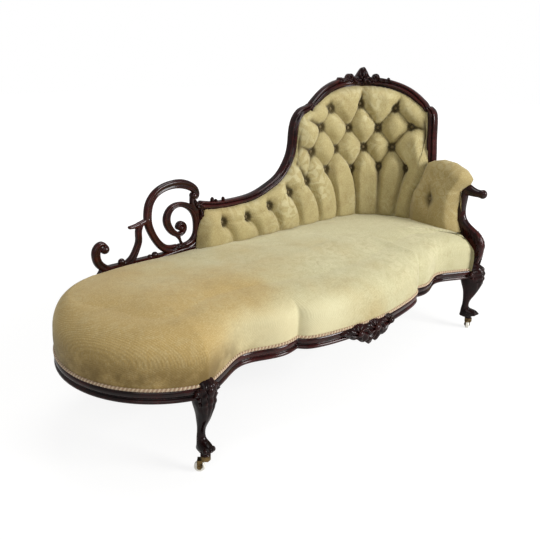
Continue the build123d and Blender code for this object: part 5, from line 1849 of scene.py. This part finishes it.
# ---- arm
@dataclass
class Arm(SubAssembly):
    """Padded arm, its scrolled support and its button.

    Attributes:
        crest: Share along the arm, place and height of its top.
        inner: Distance to the front and place of its inner face.
        front_edge: Height and place of its front end.
        rear_edge: Height and place of its rear end.
        up: Share of the section that climbs the inside.
        over: Share of the section where the top ends.
    """

    face_x: float = 0.8575
    thick: float = 0.032
    button: Pair = (-0.055, 0.548)
    button_x: float = 0.8035
    outer: float = 0.8755
    low_in: float = 0.425
    low_out: float = 0.6
    crest: tuple[Triple, ...] = (
        (0, 0.004, 0.69), (0.16, -0.03, 0.706), (0.38, -0.085, 0.719), (0.62, -0.14, 0.714),
        (0.82, -0.19, 0.693), (0.95, -0.22, 0.664), (1.0, -0.228, 0.64))
    inner: tuple[Pair, ...] = mm(
        (0, 814), (60, 795), (110, 781), (160, 773), (196, 777), (228, 792))
    front_edge: tuple[Pair, ...] = mm(
        (420, -205), (440, -196), (475, -182), (520, -178), (560, -182), (600, -186), (625, -205),
        (660, -228))
    rear_edge: tuple[Pair, ...] = mm(
        (420, 68), (451, 68), (493, 67), (550, 58), (600, 33), (685, 0), (720, 4))
    up: float = 0.42
    over: float = 0.8

    def support(self) -> None:
        """Scrolled support with its handhold and shoulder leaf."""
        line = mm(
            (-262, 290, 48), (-270, 322, 52), (-274, 352, 66), (-262, 388, 82), (-236, 420, 72),
            (-207, 450, 54), (-189, 482, 44), (-183, 515, 41), (-183, 550, 43), (-182, 585, 50),
            (-178, 612, 46))
        hold = mm(
            (-164, 612, 40), (-188, 611, 56), (-214, 606, 46), (-240, 601, 35), (-262, 600, 33),
            (-272, 600, 38))
        place = side_place(self.face_x)
        grids = [
            Bar(line, 0.0, self.thick, ROUNDED, place, samples=90, tips=(0, 0.3)).grid(),
            Bar(hold, 0.001, self.thick - 0.001, ROUNDED, place, samples=60, tips=(0, 0.5)).grid()]
        for index, grid in enumerate(grids):
            nodes = ("arm_support",) if index == 0 else ()
            self.piece(f"arm_support_bar_{index}", [grid], "show_wood", *nodes)
        x = self.face_x - self.thick / 2
        front = (-0.2, -1.0, 0.2)
        pieces = [leaf(
            [(x, -0.25, 0.444), (x, -0.282, 0.418), (x, -0.302, 0.384), (x, -0.302, 0.345)], front,
            0.034, lobes=4, relief=0.004, thick=0.008, notch=0.22)]
        for side in (-1, 1):
            xs = x + side * 0.015
            pieces.append(leaf(
                [
                    (xs, -0.225, 0.455), (xs + side * 0.001, -0.26, 0.425),
                    (xs + side * 0.001, -0.286, 0.394), (xs, -0.28, 0.35)], (side, -0.3, 0.0),
                0.034, lobes=4, relief=0.003, thick=0.006, notch=0.25))
            pieces.append(leaf(
                [(xs, -0.3, 0.345), (xs + side * 0.003, -0.288, 0.325), (xs, -0.292, 0.296)],
                (side, -0.3, 0.0), 0.026, lobes=3, relief=0.004))
        self.piece("arm_support_leaves", pieces, "carved_wood")

    def pad(self) -> Object:
        """Plump arm from the seat over the top to the outside.

        Returns:
            The arm's cover.
        """
        steps, round_count = 70, 96
        t = np.linspace(0, 1, steps)[:, None]
        u = np.linspace(0, 1, round_count)[None, :]
        shares, places, tops = np.transpose(self.crest)
        y_top, top = np.interp(t, shares, places), np.interp(t, shares, tops)
        inner = np.interp(-y_top, *np.transpose(self.inner))
        outer = np.full_like(inner, self.outer)
        spring = top - (outer - inner) * 0.52
        rise = np.clip(u / self.up, 0, 1)
        turn = np.clip((u - self.up) / (self.over - self.up), 0, 1) * math.pi
        fall = np.clip((u - self.over) / (1 - self.over), 0, 1)
        middle, half = (inner + outer) / 2, (outer - inner) / 2
        inside, above = u < self.up, u < self.over
        x = np.where(inside, inner, np.where(above, middle - half * np.cos(turn), outer))
        high = spring + (top - spring) * np.sin(turn)
        z = np.where(inside, self.low_in + (spring - self.low_in) * rise,
                     np.where(above, high, spring + (self.low_out - spring) * fall))
        front = np.interp(z, *np.transpose(self.front_edge))
        start = np.interp(z, *np.transpose(self.rear_edge))
        start = np.where(u < 0.62, start, 0.004)
        y = start + (front - start) * (0.004 - y_top) / 0.232
        meet = (u < 0.62) * ease(start - y, 0.045, 0.0)
        x = x + (0.822 - x) * meet * (x < 0.84)
        x = x + 0.01 * meet * ease(start - y, 0.016, 0.0)
        nose = 1 - np.sqrt(np.maximum(1 - np.clip((t - 0.8) / 0.2, 0, 1) ** 2, 0))
        x = x + (0.842 - x) * nose * 0.9
        z = np.where(z > 0.6, z + (0.612 - z) * nose * 0.35, z)
        belly = np.where(inside, np.sin(math.pi * np.clip((z - 0.43) / 0.22, 0, 1)), 0)
        x = x - 0.012 * belly * np.sin(math.pi * t ** 0.8)
        by, bz = self.button
        away = np.hypot(y - by, (z - bz) * 0.85)
        on_face = (u < 0.5)
        pleat = by + (z - bz) * 0.1 + 0.003 * np.sin(z * 40)
        along = np.where(z > bz, 0.07, 0.16)
        fade = np.clip(1 - np.abs(z - bz) / along, 0, 1) ** 0.6
        reach = np.exp(-np.abs(y - pleat) / 0.013) * fade
        pit = on_face * (0.021 * np.exp(-(away / 0.036) ** 2) + 0.012 * reach)
        x = x + pit
        grid = np.stack(np.broadcast_arrays(x, y, z), -1)
        tail = grid[:, -1:].copy()
        tail[..., 0] -= 0.03
        foot = grid[:, :1].copy()
        foot[..., 0] += 0.03
        grid = np.concatenate([grid, tail, foot], 1)
        run = np.cumsum(np.linalg.norm(np.diff(grid, axis=1, prepend=grid[:, :1]), axis=2), axis=1)
        # Painted shade: a depth apart from the shape, darkened by the arm cloth in the button's pit
        # and pleat and where the arm meets the back.
        painted_shade_depth = 0.057 - 0.75 * np.concatenate([pit, pit[:, -1:] * 0, pit[:, :1]], 1)
        from_back = np.abs(grid[:, :, 1] - grid[:1, :, 1])
        painted_shade_depth = painted_shade_depth - 0.022 * np.exp(-from_back / 0.005) * (grid[..., 0] < 0.85)
        flat = np.stack([grid[..., 1], run, painted_shade_depth], -1)
        made = self.piece(
            "arm_cover_cloth", [grid], "damask", "arm_cover", "arm_stuffing", finish="arm_cloth",
            cloth=[flat])
        return made

    def build(self) -> None:
        """Make the arm."""
        self.support()
        self.pad()
        spot = dome(
            (self.button_x, *self.button), (-1, -0.3, 0), (0, 0, 1),
            (0.009, 0.009, 0.006), 20)
        self.piece(
            "arm_covered_button", [spot], "damask", "arm_button", finish="button_cloth",
            cloth=[spot.copy()])
        LOG.info("arm")


# ---- cartouche
@dataclass
class Cartouche(SubAssembly):
    """Carved cabochons and leaves on the bow of the front rail."""

    middle: float = 0.045
    height: float = 0.262
    hubs: tuple[Triple, ...] = ((-0.064, 0.0, 0.017), (0.017, 0.003, 0.019), (0.095, 0.006, 0.016))

    def build(self) -> None:
        """Make the cartouche."""
        path, _ = SEAT.outline(0.0, 1800)
        near = path[(path[:, 1] < -0.1) & (np.abs(path[:, 0] - self.middle) < 0.3)]
        near = near[np.argsort(near[:, 0])]
        place = front_place(lambda x: np.interp(x, near[:, 0], near[:, 1]))
        m = self.middle
        low = (
            (m - 0.138, 0.268), (m - 0.1, 0.252), (m - 0.07, 0.242), (m - 0.02, 0.23),
            (m + 0.03, 0.228), (m + 0.08, 0.238), (m + 0.127, 0.262))
        top = (
            (m - 0.138, 0.276), (m - 0.1, 0.283), (m - 0.05, 0.284), (m + 0.04, 0.284),
            (m + 0.1, 0.283), (m + 0.127, 0.272))
        lobes = (
            (m - 0.062, 0.026, 0.007, 0.5), (m + 0.012, 0.026, 0.007, 0.5),
            (m + 0.092, 0.024, 0.006, 0.5))
        drops = (
            (m - 0.082, 0.016, 0.008, 0.6), (m - 0.036, 0.022, 0.016, 0.6),
            (m - 0.004, 0.017, 0.026, 0.7), (m + 0.032, 0.02, 0.022, 0.6),
            (m + 0.07, 0.018, 0.018, 0.6), (m + 0.1, 0.013, 0.01, 0.7))
        hubs = tuple((m + a, self.height + z) for a, z, _ in self.hubs)
        carving = Relief(low, top, lobes, drops, hubs, 0.002, 0.02, 0.016, 8.0, place)
        leaves = carving.grid(230, 44)
        self.piece("front_cartouche_leaves", [leaves], "carved_wood", "front_cartouche")
        beads = []
        for a, z, size in self.hubs:
            spot = place(np.array(m + a), np.array(self.height + z), np.array(0.02))
            beads.append(dome(spot, (0, -1, 0.15), (1, 0, 0.3), (size * 0.85, size * 0.62, 0.0085)))
        self.piece("front_cartouche_cabochons", beads, "carved_wood")
        LOG.info("cartouche")


# ---- cloth of the unseen sides
@dataclass
class HiddenCloth(SubAssembly):
    """Cloth over the outside of the back and the arm and under the seat, and the back's posts."""

    back_low: float = 0.2815
    inset: float = 0.0022
    post_width: float = 0.032
    post_rear: float = 0.009
    post_front: float = 0.021

    def posts(self) -> None:
        """Planed beech posts inside the back, clear of the stuffing."""
        low, high = 0.3305, 0.566
        lines = (
            (-0.112, high, PLAN.place), (0.325, 0.73, PLAN.place),
            (0.014, 0.63, side_place(PLAN.head)))
        grids = [
            Bar(
                (
                    (a, low, self.post_width), (a, (low + top) / 2, self.post_width),
                    (a, top, self.post_width)), self.post_rear, self.post_front, ROUNDED, place,
                samples=12).grid() for a, top, place in lines]
        self.piece("planed_posts", grids, "frame_wood", "back_posts")

    def weave(self, name: str, grid: Array, node: str, flat: Array) -> Object:
        """One drawn sheet that stands for a CAD cloth."""
        return self.piece(
            name, [grid], "damask", node, finish="back_cloth", ring=False, cloth=[flat])

    def outside_back(self) -> None:
        """Outside of the back: drawn tight, with soft pulls between its tacks."""
        edge = TuftedBack(self.palette).top_edge()
        s = np.linspace(-0.15, 1.068, 380)
        top = np.interp(s, edge[:, 0], edge[:, 1]) - 0.002
        t = np.linspace(0, 1, 120)[None, :]
        z = self.back_low + (top[:, None] - self.back_low) * t
        a = np.broadcast_to(s[:, None], z.shape)
        away = np.minimum.reduce([z - self.back_low, top[:, None] - z, a + 0.15, 1.068 - a])
        pull = 0.5 + 0.5 * np.cos(math.tau * (a + 0.3 * z) / 0.052)
        depth = self.inset + 0.0016 * np.exp(-away / 0.02) * pull \
            + 0.0012 * np.sin(9 * a + 2) * np.sin(8 * z) * ease(away, 0.0, 0.05)
        edge_turn = ease(-away, -0.006, 0.0) * 0.003
        grid = PLAN.place(a, z, depth + edge_turn)
        flat = np.stack([a, z, np.full_like(z, 0.06)], -1)
        made = self.weave("outside_back_cloth", grid, "outside_back_cover", flat)

    def outside_arm(self) -> None:
        """Outside of the arm."""
        share = np.linspace(0, 1, 100)[:, None]
        t = np.linspace(0, 1, 110)[None, :]
        z = 0.2815 + (0.598 - 0.2815) * t
        front = -0.226 + 0.066 * ease(z, 0.4, 0.47)
        a = 0.031 + (front - 0.031) * share
        z = np.broadcast_to(z, a.shape)
        away = np.minimum.reduce([z - 0.2815, 0.598 - z, 0.031 - a, a - front])
        pull = 0.5 + 0.5 * np.cos(math.tau * (a + 0.2 * z) / 0.046)
        turned = ease(-away, -0.006, 0.0) * 0.003
        x = PLAN.head - self.inset - 0.0016 * np.exp(-away / 0.02) * pull - turned
        grid = np.stack([x, a, z], -1)
        flat = np.stack([a, z, np.full_like(z, 0.06)], -1)
        made = self.weave("outside_arm_cloth", grid, "outside_arm_cover", flat)

    def lining(self) -> None:
        """Dust cloth tacked under the frame, sagging a little between the cross rails."""
        low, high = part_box("bottom_lining")
        path, _ = SEAT.outline(0.04, 500)
        core = np.stack([np.clip(path[:, 0], -0.6, 0.6), np.full(len(path), 0.02)], -1)
        share = np.linspace(0, 0.96, 40)[:, None, None]
        plan = path[None] + (core - path)[None] * share
        hang = np.sin(math.pi * np.clip(share[..., 0] * 0.9, 0, 1))
        sag = 0.004 * hang * np.abs(np.sin(5 * plan[..., 0]))
        z = low[2] + 0.0008 - sag
        grid = np.concatenate([plan, z[..., None]], -1)
        made = self.piece("dust_cloth", [grid], "hessian", "bottom_lining", finish="dust")
        area = 0.5 * abs(float(np.sum(
            path[:, 0] * np.roll(path[:, 1], -1) - np.roll(path[:, 0], -1) * path[:, 1])))

    def build(self) -> None:
        """Make the three cloths and the posts."""
        self.posts()
        self.outside_back()
        self.outside_arm()
        self.lining()
        LOG.info("outside covers and dust cloth")


# ---- what the solids already show
@dataclass
class PlainParts(SubAssembly):
    """CAD nodes that keep their shape and only take a finish."""

    def build(self) -> None:
        """Dress every CAD node by its material slot."""
        slots = {row["node"]: row["material_slot"] for row in frame["record"]["subparts"]}
        for name, node in frame["nodes"].items():
            finish = getattr(self.palette, Slot[slots[name]].value)
            node.data.materials.clear()
            node.data.materials.append(finish)
        LOG.info("plain parts")


# ---- studio
@dataclass(frozen=True)
class Studio:
    """Floor, light and camera."""

    place: Triple = (-1.6157, -1.522, 1.1817)
    yaw: float = 44.15
    pitch: float = 17.6
    roll: float = 1.353
    lens: float = 42.96
    shift: Pair = (0.0085, -0.0444)
    floor_half: float = 12.0
    lamps: tuple[tuple[str, Triple, Triple, float, float], ...] = (
        ("window", (1.4, -3.3, 1.8), (0.1, 0.0, 0.4), 1.5, 142.0),
        ("fill", (-2.4, -2.0, 2.2), (0.0, 0.0, 0.4), 2.2, 20.0),
        ("over", (0.2, 0.4, 3.2), (0.1, 0.0, 0.4), 1.6, 38.0))

    def camera(self) -> None:
        """Camera at the photograph's place."""
        data = bpy.data.cameras.new("view")
        data.sensor_width, data.lens = 36.0, self.lens
        data.shift_x, data.shift_y = self.shift
        data.clip_end = 50.0
        made = bpy.data.objects.new("view", data)
        turn = Matrix.Rotation(math.radians(-self.yaw), 4, "Z") \
            @ Matrix.Rotation(math.radians(90 - self.pitch), 4, "X") \
            @ Matrix.Rotation(math.radians(self.roll), 4, "Z")
        made.matrix_world = Matrix.Translation(self.place) @ turn
        bpy.context.scene.collection.objects.link(made)
        bpy.context.scene.camera = made

    def lamp(self, name: str, place: Triple, aim: Triple, size: float, power: float) -> None:
        """Square soft light that looks at a point.

        Args:
            name: Its name.
            place: Where it hangs.
            aim: Where it looks.
            size: Side of the square.
            power: Its power.
        """
        data = bpy.data.lights.new(name, "AREA")
        data.shape, data.size, data.energy = "SQUARE", size, power
        made = bpy.data.objects.new(name, data)
        made.location = place
        made.rotation_euler = (Vector(aim) - Vector(place)).to_track_quat("-Z", "Y").to_euler()
        bpy.context.scene.collection.objects.link(made)

    def world(self) -> None:
        """Even daylight, white where the camera sees it."""
        world = bpy.data.worlds.new("daylight")
        world.use_nodes = True
        bpy.context.scene.world = world
        g = Graph(world.node_tree)
        path = g.add("ShaderNodeLightPath")
        seen = g.calc("MAXIMUM", path.outputs["Is Camera Ray"], path.outputs["Is Transmission Ray"])
        strength = g.plus(g.times(seen, 0.62), 0.38)
        sky = g.add("ShaderNodeBackground", {"Color": (1.0, 1.0, 1.0), "Strength": strength})
        g.add("ShaderNodeOutputWorld", {"Surface": sky.outputs[0]})

    def floor(self) -> None:
        """Pale floor that keeps the couch's shadow."""
        mesh = bpy.data.meshes.new("floor")
        r = self.floor_half
        mesh.from_pydata([(-r, -r, 0), (r, -r, 0), (r, r, 0), (-r, r, 0)], [], [(0, 1, 2, 3)])
        made = bpy.data.objects.new("floor", mesh)
        bpy.context.scene.collection.objects.link(made)
        material = bpy.data.materials.new("pale_floor")
        material.use_nodes = True
        g = Graph(material.node_tree)
        path = g.add("ShaderNodeLightPath")
        where = g.add("ShaderNodeTexCoord").outputs["Object"]
        away = g.add("ShaderNodeVectorMath", {0: where}, operation="LENGTH").outputs["Value"]
        lit = g.span(away, 1.0, 2.6, (0.72, 1.0))
        seen = g.times(path.outputs["Is Camera Ray"], lit)
        plain = g.add("ShaderNodeBsdfDiffuse", {"Color": (0.8, 0.79, 0.77)})
        bright = g.add("ShaderNodeEmission", {"Color": (1.0, 1.0, 1.0), "Strength": 1.16})
        both = g.add("ShaderNodeMixShader", {0: seen, 1: plain.outputs[0], 2: bright.outputs[0]})
        g.add("ShaderNodeOutputMaterial", {"Surface": both.outputs[0]})
        mesh.materials.append(material)

    def build(self) -> None:
        """Make the studio."""
        bpy.context.scene.view_settings.view_transform = "Standard"
        self.camera()
        self.world()
        self.floor()
        for lamp in self.lamps:
            self.lamp(*lamp)
        LOG.info("studio")


def main() -> None:
    """Build every part of the couch in order."""
    logging.basicConfig(level=logging.INFO, format="%(name)s: %(message)s")
    palette = Palette.build()
    PlainParts(palette).build()
    Rails(palette).build()
    FrontLeg(palette, "leg_front_foot", -0.6325, -4.0, (0.026, 0.022), 0.029).build()
    FrontLeg(palette, "leg_front_head", 0.8295, 30.0, (0.034, 0.01), 0.026, 1.16).build()
    BackFrame(palette).build()
    Scrolls(palette).build()
    TuftedBack(palette).build()
    Arm(palette).build()
    Seat(palette).build()
    Cartouche(palette).build()
    HiddenCloth(palette).build()
    Studio().build()


if __name__ == "__main__":
    main()
